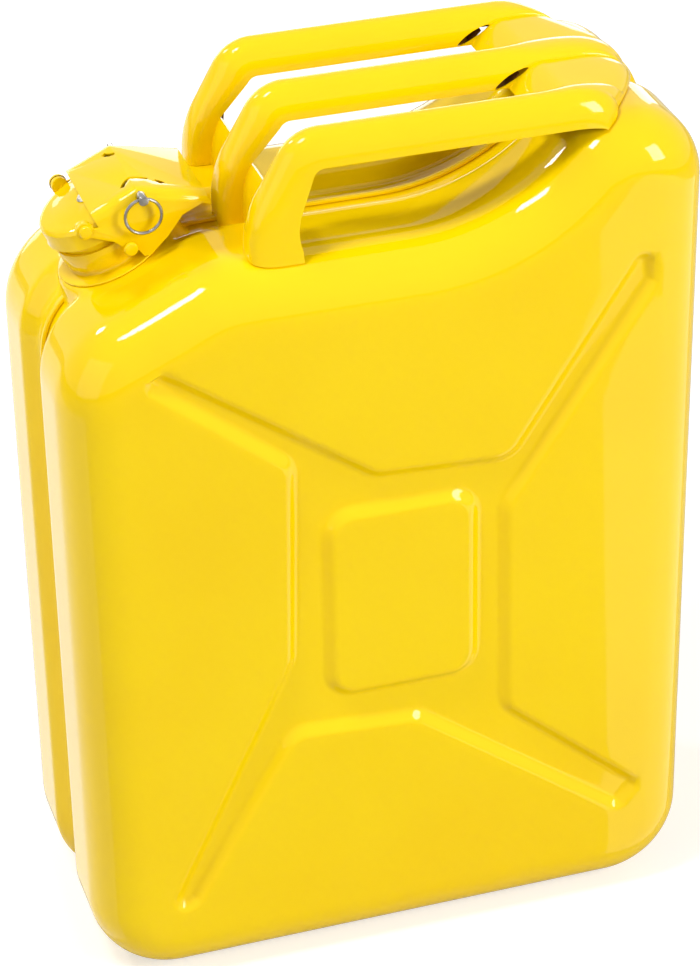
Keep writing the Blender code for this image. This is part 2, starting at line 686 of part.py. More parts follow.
def rear_end_x(y):
    """Rear outline of the handle: its middle reaches back, its corners are round."""
    flat = max(0.0, 1.0 - abs(y) / BAR_PITCH)
    corner = max(0.0, (abs(y) - BAR_PITCH) / BAR_RADIUS)
    return HANDLE_REAR_X + REAR_SPREAD * math.sin(flat * math.pi / 2.0) - REAR_CORNER_CUT * corner ** 2


def seat_height(x, y):
    """Lowest height that clears the can round a lip, whose sheet lies towards the middle."""
    near_groove = abs(y) < SEAM_HALF_WIDTH + 3.0 * MM
    spread = 3.0 * MM if near_groove else 0.0
    if abs(y) < 5.0 * MM:
        spread = abs(y)
    inner_y = max(0.0, abs(y) - max(HANDLE_SHEET, spread))
    places = [(x + step, side) for step in (-HANDLE_SHEET, 0.0, HANDLE_SHEET)
              for side in (inner_y, abs(y), abs(y) + spread)]
    return max(top_height(*place) for place in places) + GAP


def rear_point(share, column):
    """Place of one column on the rear foot; share runs from 0 at the slots' ends to 1."""
    y, crown, zone = column
    x = SLOT_REAR_X + (rear_end_x(y) - SLOT_REAR_X) * share
    rise = min(1.0, max(0.0, (x - SLOT_REAR_X) / (REAR_START_X - SLOT_REAR_X)))
    drop = max(0.0, (share - 0.45) / 0.55)
    top = HANDLE_TOP - REAR_FALL * drop
    if zone == "outer":
        low = max(HANDLE_TOP - BAR_DEPTH, seat_height(x, y))
    else:
        low = HANDLE_TOP - BAR_DEPTH + (BAR_DEPTH - REAR_WEB_DEPTH) * math.sin(rise * math.pi / 2.0)
    height = low + (top - low) * crown
    end = max(seat_height(x, y), seat_height(x - 2.0 * HANDLE_SHEET, y)) + GAP
    fall = 1.0 - math.sqrt(max(0.0, 1.0 - drop ** 3))
    return Vector((x, y, height + (end - height) * fall))


def make_handle(material):
    """One webbed pressing: three open channels joined by webs at the legs and at the rear."""
    columns = handle_columns()
    builder = bmesh.new()
    grid = []
    webbed = []
    for row in leg_rows():
        grid.append([handle_point(row, column) for column in columns])
        webbed.append(row[4])
    for place in grid[0]:
        place.z = seat_height(place.x, place.y)
    bar_steps = 4
    start = grid[-1][0].x
    down = np.array((0.0, -1.0))
    for number in range(1, bar_steps):
        x = start + (SLOT_REAR_X - start) * number / bar_steps
        row = (np.array((x, HANDLE_TOP)), down, BAR_DEPTH, BAR_DEPTH, False)
        grid.append([handle_point(row, column) for column in columns])
        webbed.append(False)
    for share in REAR_SHARES:
        grid.append([rear_point(share, column) for column in columns])
        webbed.append(True)
    verts = [[builder.verts.new(place) for place in row] for row in grid]
    for number in range(len(grid) - 1):
        joined = webbed[number] and webbed[number + 1]
        for index in range(len(columns) - 1):
            if not joined and "web" in (columns[index][2], columns[index + 1][2]):
                continue
            corners = (verts[number][index], verts[number + 1][index],
                       verts[number + 1][index + 1], verts[number][index + 1])
            builder.faces.new(corners)
    loose = [vert for vert in builder.verts if not vert.link_faces]
    bmesh.ops.delete(builder, geom=loose, context="VERTS")
    mesh = bpy.data.meshes.new("handle")
    builder.to_mesh(mesh)
    builder.free()
    handle = make_object("handle", mesh)
    wall = handle.modifiers.new("wall", "SOLIDIFY")
    wall.thickness = HANDLE_SHEET
    wall.offset = -1.0
    wall.use_even_offset = True
    settle(handle)
    return finish_part(handle, "triple_bar_handle", material, angle=50.0)


# --- closure --------------------------------------------------------------------------------------

def make_neck(material):
    """Turned tube with a rolled rim, a base flange on the pad and a spigot in the can."""
    rim = NECK_RADIUS + RIM_ROLL
    roll_end = NECK_HEIGHT - RIM_HEIGHT
    base = PAD_HEIGHT + GAP
    flange = PAD_RADIUS - 2.0 * MM
    profile = [
        (NECK_INSIDE, NECK_HEIGHT), (rim - RIM_ROLL / 2.0, NECK_HEIGHT),
        (rim, NECK_HEIGHT - RIM_HEIGHT / 4.0), (rim, roll_end), (NECK_RADIUS, roll_end - RIM_ROLL),
        (NECK_RADIUS, base + 2.6 * MM), (NECK_RADIUS + 1.2 * MM, base + 1.6 * MM),
        (flange, base + 1.1 * MM), (flange, base), (NECK_RADIUS, base),
        (NECK_RADIUS, -NECK_SPIGOT), (NECK_INSIDE, -NECK_SPIGOT),
    ]
    neck = to_closure(turned("neck", profile, TURN_STEPS))
    return finish_part(neck, "spout_neck", material)


def drill(item, place, radius, low, high, sides=20):
    """Cut a round hole along Y at (t, n) from y = low to y = high, in the closure's plane."""
    hole = cylinder("hole", (place[0], low, place[1]), (place[0], high, place[1]), radius, sides)
    return cut(item, hole)


def arc_points(centre, radius, first, last, steps):
    """Points on an arc in the (t, n) plane, both ends included; angles in degrees."""
    angles = [math.radians(first + (last - first) * number / steps) for number in range(steps + 1)]
    return [(centre[0] + radius * math.cos(angle), centre[1] + radius * math.sin(angle))
            for angle in angles]


def ear_plates(item, faces, wall_radius, top, bottom):
    """Join a pair of hinge ears to a turned wall: round about the hinge, straight to the root."""
    root_t = wall_radius - 1.5 * MM
    outline = arc_points(HINGE_PLACE, EAR_RADIUS, -110.0, 90.0, 7) + [(root_t, top), (root_t, bottom)]
    for side in (-1.0, 1.0):
        span = sorted(side * face for face in faces)
        join(item, plate("ear", outline, span[0], span[1]))
    return item


def side_boss(place, side, end, radius, wall_radius):
    """Round boss on a turned wall, hollowed so that it starts inside the wall's thickness."""
    t, n = place
    boss = cylinder("boss", (t, side * wall_radius * 0.7, n), (t, side * end, n), radius, 20)
    reach = 2.0 * LEVER_HALF_WIDTH
    return cut(boss, cylinder("core", (0.0, 0.0, -reach), (0.0, 0.0, reach), wall_radius, 64))


def make_collar(material):
    """Pressed strap round the neck with two hinge ears and two bosses for the trunnions."""
    inside = NECK_RADIUS + GAP
    collar = turned("collar", [(inside, COLLAR_TOP), (COLLAR_RADIUS, COLLAR_TOP),
                               (COLLAR_RADIUS, COLLAR_BOTTOM), (inside, COLLAR_BOTTOM)], TURN_STEPS)
    ear_plates(collar, COLLAR_EAR_FACES, COLLAR_RADIUS, COLLAR_TOP - 0.5 * MM,
               COLLAR_BOTTOM + 0.5 * MM)
    for side in (-1.0, 1.0):
        join(collar, side_boss(TRUNNION_PLACE, side, TRUNNION_SEAT, TRUNNION_RADIUS + TRUNNION_BOSS,
                               inside + COLLAR_SHEET / 2.0))
    drill(collar, HINGE_PLACE, HINGE_PIN_RADIUS + PLAY, -COLLAR_RADIUS, COLLAR_RADIUS)
    return finish_part(to_closure(collar), "neck_collar", material)


def headed_pin(name, place, start, end, radius, head_radius, head_length, sides=20):
    """Pin along Y from start to end, with its head beyond the end, in the closure's plane."""
    t, n = place
    step = head_length if end > start else -head_length
    pin = cylinder(name, (t, start, n), (t, end + step * 0.5, n), radius, sides)
    head = cylinder("head", (t, end, n), (t, end + step, n), head_radius, sides, head_radius * 0.8)
    return join(pin, head)


def make_trunnion(name, side, material):
    """Stud on the collar's boss that the lever's claw sits on."""
    stud = headed_pin(name, TRUNNION_PLACE, side * (TRUNNION_SEAT + GAP),
                      side * (LEVER_HALF_WIDTH + GAP), TRUNNION_RADIUS,
                      TRUNNION_RADIUS + TRUNNION_HEAD, TRUNNION_HEAD)
    return finish_part(to_closure(stud), name, material)


def make_hinge_pin(material):
    """Rivet pin through the ears of the collar and the lid."""
    face = COLLAR_EAR_FACES[1]
    pin = headed_pin("hinge_pin", HINGE_PLACE, face + 2.0 * HINGE_HEAD, -face - GAP,
                     HINGE_PIN_RADIUS, HINGE_PIN_RADIUS + HINGE_HEAD, HINGE_HEAD)
    return finish_part(to_closure(pin), "hinge_pin", material)


def make_hinge_washer(material):
    """Washer under the pin's riveted end."""
    face = COLLAR_EAR_FACES[1] + GAP
    t, n = HINGE_PLACE
    washer = cylinder("washer", (t, face, n), (t, face + HINGE_HEAD, n),
                      HINGE_PIN_RADIUS + 1.2 * HINGE_HEAD, 20)
    drill(washer, HINGE_PLACE, HINGE_PIN_RADIUS + GAP, 0.0, 2.0 * face)
    return finish_part(to_closure(washer), "hinge_pin_washer", material)


def lid_profile():
    """Closed section of the lid: a raised centre, a seat for the gasket and a flared skirt."""
    bore = RIVET_RADIUS + GAP
    slope = LID_STEP_RADIUS + 2.5 * LID_STEP
    return [
        (bore, LID_TOP), (LID_STEP_RADIUS, LID_TOP), (slope, LID_SEAT),
        (LID_RADIUS - 3.6 * LID_SHEET, LID_SEAT),
        (LID_RADIUS - 1.3 * LID_SHEET, LID_SEAT - 0.5 * LID_SHEET),
        (LID_RADIUS, LID_SEAT - 2.0 * LID_SHEET), (LID_RADIUS, LID_BOTTOM + 2.0 * LID_FLARE),
        (LID_RADIUS + LID_FLARE, LID_BOTTOM), (LID_RADIUS - LID_FLARE / 2.0, LID_BOTTOM),
        (LID_INSIDE, LID_BOTTOM + 2.0 * LID_FLARE), (LID_INSIDE, LID_SEAT - LID_SHEET),
        (slope - 0.5 * MM, LID_SEAT - LID_SHEET), (LID_STEP_RADIUS - 0.5 * MM, LID_TOP - LID_SHEET),
        (bore, LID_TOP - LID_SHEET),
    ]


def make_lid(material):
    """Pressed cap with two hinge ears behind and a pivot boss on each side."""
    lid = turned("lid", lid_profile(), TURN_STEPS)
    ear_plates(lid, LID_EAR_FACES, LID_RADIUS, LID_SEAT - 1.5 * MM, LID_BOTTOM + 0.5 * MM)
    for side in (-1.0, 1.0):
        join(lid, side_boss(PIVOT_PLACE, side, LEVER_INSIDE - GAP, PIVOT_RADIUS + PIVOT_BOSS,
                            LID_RADIUS - LID_SHEET / 2.0))
    drill(lid, HINGE_PLACE, HINGE_PIN_RADIUS + PLAY, -LID_RADIUS, LID_RADIUS)
    for side in (-1.0, 1.0):
        drill(lid, PIVOT_PLACE, PIVOT_RADIUS + GAP, side * PIVOT_SEAT, side * 2.0 * LID_RADIUS)
    return finish_part(to_closure(lid), "lid", material, closure_point(HINGE_PLACE))


def make_gasket(material):
    """Rubber ring between the neck's rim and the lid."""
    top = LID_SEAT - LID_SHEET - GAP
    bottom = NECK_HEIGHT + GAP
    outside = LID_INSIDE - GAP
    inside = outside - GASKET_WIDTH
    gasket = turned("gasket", [(inside, top), (outside, top), (outside, bottom), (inside, bottom)],
                    TURN_STEPS)
    return finish_part(to_closure(gasket), "lid_gasket", material, closure_point(HINGE_PLACE))


def make_retainer(material):
    """Dished disc under the lid that holds the gasket's inner edge up."""
    low = NECK_HEIGHT
    under_lid = LID_TOP - LID_SHEET - GAP
    bore = RIVET_RADIUS + GAP
    edge = NECK_INSIDE - RETAINER_CLEARANCE
    dish = edge * 0.6
    raised = edge * 0.42
    profile = [
        (bore, under_lid), (raised, under_lid), (dish, low), (edge, low),
        (edge, low - RETAINER_SHEET), (dish - 0.5 * MM, low - RETAINER_SHEET),
        (raised - 0.5 * MM, under_lid - RETAINER_SHEET), (bore, under_lid - RETAINER_SHEET),
    ]
    retainer = turned("retainer", profile, 32)
    return finish_part(to_closure(retainer), "gasket_retainer", material, closure_point(HINGE_PLACE))


def make_retainer_rivet(material):
    """Rivet through the middle of the lid and the retainer."""
    upper = LID_TOP + GAP
    lower = LID_TOP - LID_SHEET - GAP - RETAINER_SHEET - GAP
    head = 0.6 * RIVET_RADIUS
    cone = 0.75 * RIVET_HEAD_RADIUS
    rivet = cylinder("rivet", (0.0, 0.0, lower - head / 2.0), (0.0, 0.0, upper + head / 2.0),
                     RIVET_RADIUS, 16)
    for name, start, end in (("top", upper, upper + head), ("end", lower, lower - head)):
        join(rivet, cylinder(name, (0.0, 0.0, start), (0.0, 0.0, end), RIVET_HEAD_RADIUS, 16, cone))
    return finish_part(to_closure(rivet), "retainer_rivet", material, closure_point(HINGE_PLACE))


def shifted(place, steps):
    """Places set off from a place by steps given in mm."""
    return [(place[0] + a * MM, place[1] + b * MM) for a, b in steps]


def lever_outline():
    """Side view of the lever (t, n): roof, tail, lower edge, claw, back of the claw and lobe."""
    t, n = TRUNNION_PLACE
    reach = TRUNNION_RADIUS + GAP
    roof = [(ROOF_START, LEVER_TOP - NOTCH_DEPTH), (ROOF_START, LEVER_TOP), (ROOF_END, LEVER_TOP),
            TAIL_END]
    claw = arc_points(TRUNNION_PLACE, reach, -20.0, 90.0, 4)
    back = [(t - CLAW_LIP, n + reach)] + shifted(TRUNNION_PLACE, CLAW_BACK)
    lobe = arc_points(PIVOT_PLACE, PIVOT_RADIUS + LOBE_WALL, 280.0, -20.0, 12)
    edge = shifted(TAIL_END, TAIL_EDGE) + shifted(TRUNNION_PLACE, CLAW_EDGE)
    loop = roof + edge + claw + back + lobe
    return list(reversed(loop))


def lever_channel(name, outline, half_width, round_over, top_points):
    """Prism of the outline across the lever, with the edges along its top rounded over."""
    item = plate(name, outline, -half_width, half_width)
    builder = bmesh.new()
    builder.from_mesh(item.data)
    tops = [Vector((t, 0.0, n)) for t, n in top_points]

    def is_top(vert):
        return any((Vector((vert.co.x, 0.0, vert.co.z)) - top).length < 0.01 * MM for top in tops)

    edges = [edge for edge in builder.edges
             if all(is_top(vert) for vert in edge.verts)
             and abs(edge.verts[0].co.y - edge.verts[1].co.y) < 0.01 * MM]
    bmesh.ops.bevel(builder, geom=edges, offset=round_over, segments=4, profile=0.5,
                    affect="EDGES", clamp_overlap=True)
    item.data = mesh_from(name, builder)
    return item


def relief_slot(side, first, last):
    """Arched slot through the roof beside the lock pin."""
    centre = SLOT_CENTRE
    steps = max(2, round((last - first) / 14.0))
    inner = arc_points(centre, SLOT_RADII[0], first, last, steps)
    outer = arc_points(centre, SLOT_RADII[1], first, last, steps)
    loop = [(t, side * (LEVER_INSIDE - away)) for t, away in outer + inner[::-1]]
    builder = bmesh.new()
    verts = [builder.verts.new((t, y, LEVER_UNDER - 2.0 * ROOF_EDGE_RADIUS)) for t, y in loop]
    face = builder.faces.new(verts)
    grown = bmesh.ops.extrude_face_region(builder, geom=[face])
    moved = [item for item in grown["geom"] if isinstance(item, bmesh.types.BMVert)]
    bmesh.ops.translate(builder, vec=(0.0, 0.0, 4.0 * ROOF_EDGE_RADIUS), verts=moved)
    return make_object("slot", mesh_from("slot", builder))


def make_lever(material):
    """Cam lever: a roof over the lid, a cheek on each side and a tail for the fingers."""
    tail_t, tail_n = TAIL_END
    tops = [(ROOF_START, LEVER_TOP), (ROOF_END, LEVER_TOP), TAIL_END]
    lever = lever_channel("lever", lever_outline(), LEVER_HALF_WIDTH, ROOF_EDGE_RADIUS, tops)
    fall = math.atan2(LEVER_TOP - tail_n, tail_t - ROOF_END)
    corner = ROOF_END - LEVER_SHEET * math.tan(fall / 2.0)
    end_t = tail_t - LEVER_SHEET * 1.1
    end_n = LEVER_UNDER - (end_t - corner) * math.tan(fall)
    far = -1.0 * LID_RADIUS
    inner_tops = [(far, LEVER_UNDER), (corner, LEVER_UNDER), (end_t, end_n)]
    inner = [(far, far), (end_t, far)] + inner_tops[::-1]
    hollow = lever_channel("hollow", inner, LEVER_INSIDE, ROOF_EDGE_RADIUS - 1.2 * MM, inner_tops)
    cut(lever, hollow)
    cut(lever, box("front_room", (far, -LEVER_INSIDE, 0.0), (ROOF_START, LEVER_INSIDE, 2.0 * LEVER_TOP)))
    for side, spans in ((-1.0, NEAR_SLOT_ANGLES), (1.0, FAR_SLOT_ANGLES)):
        for first, last in spans:
            cut(lever, relief_slot(side, first, last))
    reach = 2.0 * LEVER_HALF_WIDTH
    drill(lever, PIVOT_PLACE, PIVOT_RADIUS + PLAY, -reach, reach)
    drill(lever, LOCK_PIN_PLACE, LOCK_PIN_RADIUS + PLAY, -reach, reach, 16)
    return finish_part(to_closure(lever), "cam_lever", material, closure_point(PIVOT_PLACE))


def make_pivot_rivet(name, side, material):
    """Rivet that carries one cheek of the lever on the lid."""
    rivet = headed_pin(name, PIVOT_PLACE, side * (PIVOT_SEAT + GAP), side * (LEVER_HALF_WIDTH + GAP),
                       PIVOT_RADIUS, PIVOT_RADIUS + PIVOT_HEAD, PIVOT_HEAD)
    return finish_part(to_closure(rivet), name, material, closure_point(HINGE_PLACE))


def make_lock_pin(material):
    """Pin through both cheeks over the lid, with a drilled head for the ring."""
    t, n = LOCK_PIN_PLACE
    near = -LEVER_HALF_WIDTH - GAP
    pin = cylinder("lock_pin", (t, LEVER_HALF_WIDTH + LOCK_PIN_END, n),
                   (t, near - LOCK_HEAD_LENGTH / 2.0, n), LOCK_PIN_RADIUS, 16)
    join(pin, cylinder("head", (t, near, n), (t, near - LOCK_HEAD_LENGTH, n), LOCK_PIN_HEAD, 16))
    to_closure(pin)
    eye = closure_point(LOCK_PIN_PLACE, RING_EYE_Y)
    reach = Vector((3.0 * LOCK_PIN_HEAD, 0.0, 0.0))
    cut(pin, cylinder("eye", eye - reach, eye + reach, RING_WIRE_RADIUS + EYE_CLEARANCE, 14))
    return finish_part(pin, "lock_pin", material, closure_point(LOCK_PIN_PLACE))


def make_ring(material):
    """Steel ring that hangs from the lock pin's eye."""
    eye = closure_point(LOCK_PIN_PLACE, RING_EYE_Y)
    hang = RING_RADIUS - 0.3 * EYE_CLEARANCE
    bpy.ops.mesh.primitive_torus_add(major_radius=RING_RADIUS, minor_radius=RING_WIRE_RADIUS,
                                     major_segments=32, minor_segments=8,
                                     rotation=(math.pi / 2.0, 0.0, 0.0),
                                     location=eye - Vector((0.0, 0.0, hang)))
    ring = settle(bpy.context.object)
    return finish_part(ring, "lock_pin_ring", material, eye)


def make_breather(material):
    """Air tube from the neck back to the pocket of air under the rear hump."""
    start = closure_point((BREATHER_T, NECK_HEIGHT - BREATHER_TOP))
    lower = closure_point((BREATHER_T, -10.0 * MM))
    low_z = SADDLE_TOP - BREATHER_DEPTH
    corners = [
        (start.x, start.z, 0.0),
        (lower.x, lower.z, 18.0 * MM),
        (SHOULDER_X + 25.0 * MM, low_z, 25.0 * MM),
        (HUMP_FRONT_X - 42.0 * MM, low_z, 30.0 * MM),
        (HUMP_FRONT_X + 7.0 * MM, BODY_TOP - BREATHER_END_DROP, 0.0),
    ]
    points, _ = rounded_path(corners, math.radians(15.0))
    data = bpy.data.curves.new("breather", "CURVE")
    data.dimensions = "3D"
    spline = data.splines.new("POLY")
    spline.points.add(len(points) - 1)
    for target, (x, z) in zip(spline.points, points):
        target.co = (x, 0.0, z, 1.0)
    data.bevel_depth = BREATHER_RADIUS
    data.bevel_resolution = 3
    data.use_fill_caps = True
    curve = bpy.data.objects.new("breather_curve", data)
    TOOLS.objects.link(curve)
    bpy.context.view_layer.update()
    graph = bpy.context.evaluated_depsgraph_get()
    mesh = bpy.data.meshes.new_from_object(curve.evaluated_get(graph))
    bpy.data.objects.remove(curve, do_unlink=True)
    welder = bmesh.new()
    welder.from_mesh(mesh)
    bmesh.ops.remove_doubles(welder, verts=welder.verts, dist=0.00001)
    tube = make_object("breather", mesh_from("breather", welder))
    return finish_part(tube, "breather_tube", material)


def make_breather_clip(material):
    """Band that holds the air tube against the neck's inner wall."""
    top = NECK_HEIGHT / 2.0
    inside = BREATHER_RADIUS + GAP
    outside = inside + CLIP_SHEET
    clip = turned("clip", [(inside, top), (outside, top), (outside, top - CLIP_LENGTH),
                           (inside, top - CLIP_LENGTH)], 20)
    clip.data.transform(Matrix.Translation((BREATHER_T, 0.0, 0.0)))
    return finish_part(to_closure(clip), "breather_clip", material)


def main():
    yellow = paint("yellow_paint", YELLOW, 0.0, 0.22)
    steel = paint("bright_steel", STEEL, 1.0, 0.3)
    rubber = paint("black_rubber", BLACK, 0.0, 0.6)
    make_half_shell("near_half_shell", -1.0, yellow)
    make_half_shell("far_half_shell", 1.0, yellow)
    make_handle(yellow)
    make_neck(yellow)
    make_collar(yellow)
    make_trunnion("near_trunnion", -1.0, yellow)
    make_trunnion("far_trunnion", 1.0, yellow)
    make_hinge_pin(yellow)
    make_hinge_washer(yellow)
    make_lid(yellow)
    make_gasket(rubber)
    make_retainer(steel)
    make_retainer_rivet(steel)
    make_lever(yellow)
    make_pivot_rivet("near_pivot_rivet", -1.0, yellow)
    make_pivot_rivet("far_pivot_rivet", 1.0, yellow)
    make_lock_pin(steel)
    make_ring(steel)
    make_breather(steel)
    make_breather_clip(steel)


main()
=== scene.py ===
# %% [markdown]
# # A pressed-steel fuel can, step by step
# The can is two deep-drawn halves welded together round a groove, with a pressed bar handle and
# a small lever closure on a tilted neck. Everything is glossy yellow enamel, so the lesson is
# mostly about smooth, softly rounded sheet metal and about a paint that shows it off.
# The engineering model is loaded first. It fixes every size and every moving body.

import math

import bmesh
import bpy
import numpy as np
from mathutils import Matrix, Vector
from mathutils.geometry import delaunay_2d_cdt


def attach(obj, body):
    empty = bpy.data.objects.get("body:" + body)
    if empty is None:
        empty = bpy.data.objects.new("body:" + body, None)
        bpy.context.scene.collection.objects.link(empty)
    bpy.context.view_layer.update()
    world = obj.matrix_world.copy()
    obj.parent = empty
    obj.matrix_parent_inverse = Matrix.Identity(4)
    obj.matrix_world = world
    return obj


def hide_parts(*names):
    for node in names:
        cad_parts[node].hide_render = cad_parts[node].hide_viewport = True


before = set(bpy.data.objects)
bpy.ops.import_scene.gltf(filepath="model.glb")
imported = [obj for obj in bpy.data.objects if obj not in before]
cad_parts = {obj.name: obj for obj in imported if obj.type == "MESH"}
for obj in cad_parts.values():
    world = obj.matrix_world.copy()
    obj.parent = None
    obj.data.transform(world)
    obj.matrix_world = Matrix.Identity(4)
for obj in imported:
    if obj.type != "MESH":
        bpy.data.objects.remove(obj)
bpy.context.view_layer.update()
MM = 0.001


# %% [markdown]
# ## The camera
# A long lens from a little above and to the left keeps the can's sides nearly parallel, as in a
# catalogue picture. The place is given by turning round a point in the middle of the can.

# %% Camera
TURN = math.radians(-17.12)
LIFT = math.radians(31.03)
ROLL = math.radians(-1.06)
DISTANCE = 1.7784
TARGET = Vector((-0.00076, 0.0, 0.24483))
SENSOR_MM, LENS_MM = 36.0, 123.35


def place_object(name, data):
    """A new object with the given mesh, lamp or camera, linked to the scene."""
    item = bpy.data.objects.new(name, data)
    bpy.context.scene.collection.objects.link(item)
    return item


back = Vector((math.sin(TURN) * math.cos(LIFT), -math.cos(TURN) * math.cos(LIFT), math.sin(LIFT)))
level = Vector((math.cos(TURN), math.sin(TURN), 0.0))
upward = back.cross(level)
right = level * math.cos(ROLL) + upward * math.sin(ROLL)
up = upward * math.cos(ROLL) - level * math.sin(ROLL)
camera_data = bpy.data.cameras.new("catalogue_camera")
camera_data.sensor_width = SENSOR_MM
camera_data.lens = LENS_MM
camera = place_object("catalogue_camera", camera_data)
facing = Matrix((right, up, back)).transposed().to_4x4()
camera.matrix_world = Matrix.Translation(TARGET + back * DISTANCE) @ facing
bpy.context.scene.camera = camera
print("camera at", [round(value, 3) for value in camera.matrix_world.translation])

# %% [markdown]
# ## Writing node trees as sums
# A material is a small calculation. Linking its nodes one by one hides the sum that they do, so
# one class lets an output socket be added, multiplied and subtracted like a number. Every other
# node comes from its one method.

# %% A socket that can be calculated with
class Wire:
    """An output socket of a node tree, or the tree alone where there is no socket yet."""

    def __init__(self, tree, socket=None):
        self.tree = tree
        self.socket = socket

    def node(self, kind, settings=None, values=None, output=0):
        """Add a node: its settings first, then a value or a link for each named input."""
        made = self.tree.nodes.new(kind)
        for name, value in (settings or {}).items():
            setattr(made, name, value)
        for name, value in (values or {}).items():
            if isinstance(value, Wire):
                self.tree.links.new(value.socket, made.inputs[name])
            else:
                made.inputs[name].default_value = value
        return Wire(self.tree, made.outputs[output])

    def into(self, socket):
        self.tree.links.new(self.socket, socket)

    def maths(self, operation, first, second=0.0):
        return self.node("ShaderNodeMath", {"operation": operation}, {0: first, 1: second})

    def __add__(self, other):
        return self.maths("ADD", self, other)

    def __sub__(self, other):
        return self.maths("SUBTRACT", self, other)

    def __rsub__(self, other):
        return self.maths("SUBTRACT", other, self)

    def __mul__(self, other):
        return self.maths("MULTIPLY", self, other)

    __radd__ = __add__
    __rmul__ = __mul__


print("a wire can be used in +, - and *")

# %% A smooth step, a colour blend and a noise, which every finish uses
def smooth_step(value, low, high):
    """0 below low, 1 above high, with a soft change between."""
    return value.node("ShaderNodeMapRange", {"interpolation_type": "SMOOTHSTEP"},
                      {"Value": value, "From Min": low, "From Max": high})


def blend(factor, first, second):
    """The colour between two others that a factor from 0 to 1 picks."""
    return factor.node("ShaderNodeMix", {"data_type": "RGBA"}, {"Factor": factor, 6: first, 7: second}, 2)


def noise(place, scale, detail=2.0, roughness=0.5):
    return place.node("ShaderNodeTexNoise", None,
                      {"Vector": place, "Scale": scale, "Detail": detail, "Roughness": roughness})


def start_finish(name, metallic=0.0, **constants):
    """A new material with its fixed numbers set on the shader, and a wire for the place."""
    material = bpy.data.materials.new(name)
    material.use_nodes = True
    tree = material.node_tree
    shader = tree.nodes["Principled BSDF"]
    shader.inputs["Metallic"].default_value = metallic
    for key, value in constants.items():
        shader.inputs[key.replace("_", " ")].default_value = value
    place = Wire(tree).node("ShaderNodeTexCoord", output="Object")
    return material, shader, place


def relief(height, depth, strength=1.0):
    """A surface normal disturbed by a height that runs from 0 to 1."""
    return height.node("ShaderNodeBump", None,
                       {"Height": height, "Strength": strength, "Distance": depth}, "Normal")


print("helpers: smooth_step, blend, noise, start_finish, relief")

# %% [markdown]
# ## The finishes
# Stoved enamel is thick, glossy and slightly uneven: a fine orange peel breaks the edge of every
# highlight, and the colour is a little deeper where more paint ran. The pigment itself is matt
# and a clear coat over it does all the mirroring, which is how the paint gets both a strong
# colour and a white highlight. The ring and the pin are bright drawn steel, the parts inside are
# plated and the gasket is black rubber. A dark brown is painted shade under the lever's roof,
# inside the handle's channels and on strips under the bars' ends.

# %% Yellow enamel
FRESH_YELLOW = (0.99, 0.7, 0.001, 1.0)
DEEP_YELLOW = (0.97, 0.655, 0.001, 1.0)


def make_enamel(name, peel=1.0):
    """Enamel whose orange peel can be made coarser for the smaller pieces."""
    material, shader, place = start_finish(
        name, Coat_Weight=1.0, Coat_Roughness=0.03, Coat_IOR=1.33, Specular_IOR_Level=0.0)
    cloud = noise(place, 7.0, 3.0)
    speck = noise(place, 260.0, 2.0)
    deeper = smooth_step(cloud, 0.35, 0.7) * 0.8
    blend(deeper, FRESH_YELLOW, DEEP_YELLOW).into(shader.inputs["Base Color"])
    (0.34 + 0.06 * speck + 0.05 * cloud).into(shader.inputs["Roughness"])
    waves = noise(place, 34.0, 2.0)
    pebble = noise(place, 420.0, 2.0)
    relief(waves * 0.75 + pebble * 0.25, 0.00022 * peel, 0.55).into(shader.inputs["Normal"])
    return material


enamel = make_enamel("yellow_enamel")
fitting_enamel = make_enamel("fitting_enamel", 1.5)
print("finishes so far:", [enamel.name, fitting_enamel.name])

# %% Bright steel and plated steel
def make_metal(name, light, dark, rough, grain_scale):
    """Bare metal with soft clouds in its colour and a fine grain."""
    material, shader, place = start_finish(name, 1.0)
    cloud = noise(place, grain_scale, 4.0, 0.6)
    blend(cloud, light, dark).into(shader.inputs["Base Color"])
    (rough + 0.16 * cloud).into(shader.inputs["Roughness"])
    relief(noise(place, grain_scale * 4.0, 3.0), 0.00005, 0.6).into(shader.inputs["Normal"])
    return material


bright_steel = make_metal(
    "bright_steel", (0.52, 0.5, 0.46, 1.0), (0.15, 0.14, 0.13, 1.0), rough=0.16, grain_scale=300.0)
plated_steel = make_metal(
    "plated_steel", (0.66, 0.62, 0.5, 1.0), (0.42, 0.4, 0.36, 1.0), rough=0.3, grain_scale=120.0)
print("metals:", [bright_steel.name, plated_steel.name])

# %% Rubber, and a dark brown for painted shade
def make_matt(name, first, second, patch_scale, rough, grain_scale, grain_depth):
    """A dull finish in patches of two colours."""
    material, shader, place = start_finish(name)
    patches = noise(place, patch_scale, 3.0)
    blend(patches, first, second).into(shader.inputs["Base Color"])
    (rough + 0.2 * patches).into(shader.inputs["Roughness"])
    relief(noise(place, grain_scale), grain_depth).into(shader.inputs["Normal"])
    return material


fuel_rubber = make_matt("fuel_rubber", (0.012, 0.012, 0.012, 1.0), (0.035, 0.034, 0.032, 1.0),
                        patch_scale=90.0, rough=0.55, grain_scale=700.0, grain_depth=0.00008)
# painted shade: a dark brown laid under the lever's roof, inside the handle's channels and on strips
# under the bars' ends
painted_shade = make_matt("painted_shade", (0.10, 0.035, 0.004, 1.0), (0.24, 0.11, 0.006, 1.0),
                        patch_scale=60.0, rough=0.5, grain_scale=500.0, grain_depth=0.00006)
print("dull finishes:", [fuel_rubber.name, painted_shade.name])

# %% [markdown]
# ## Outlines with rounded corners
# Both the can's silhouette and the pattern pressed into its faces are polygons whose corners
# carry arcs. One function turns a list of corners into points and outward directions, so that a
# copy of the outline can be moved in or out without losing its roundness.

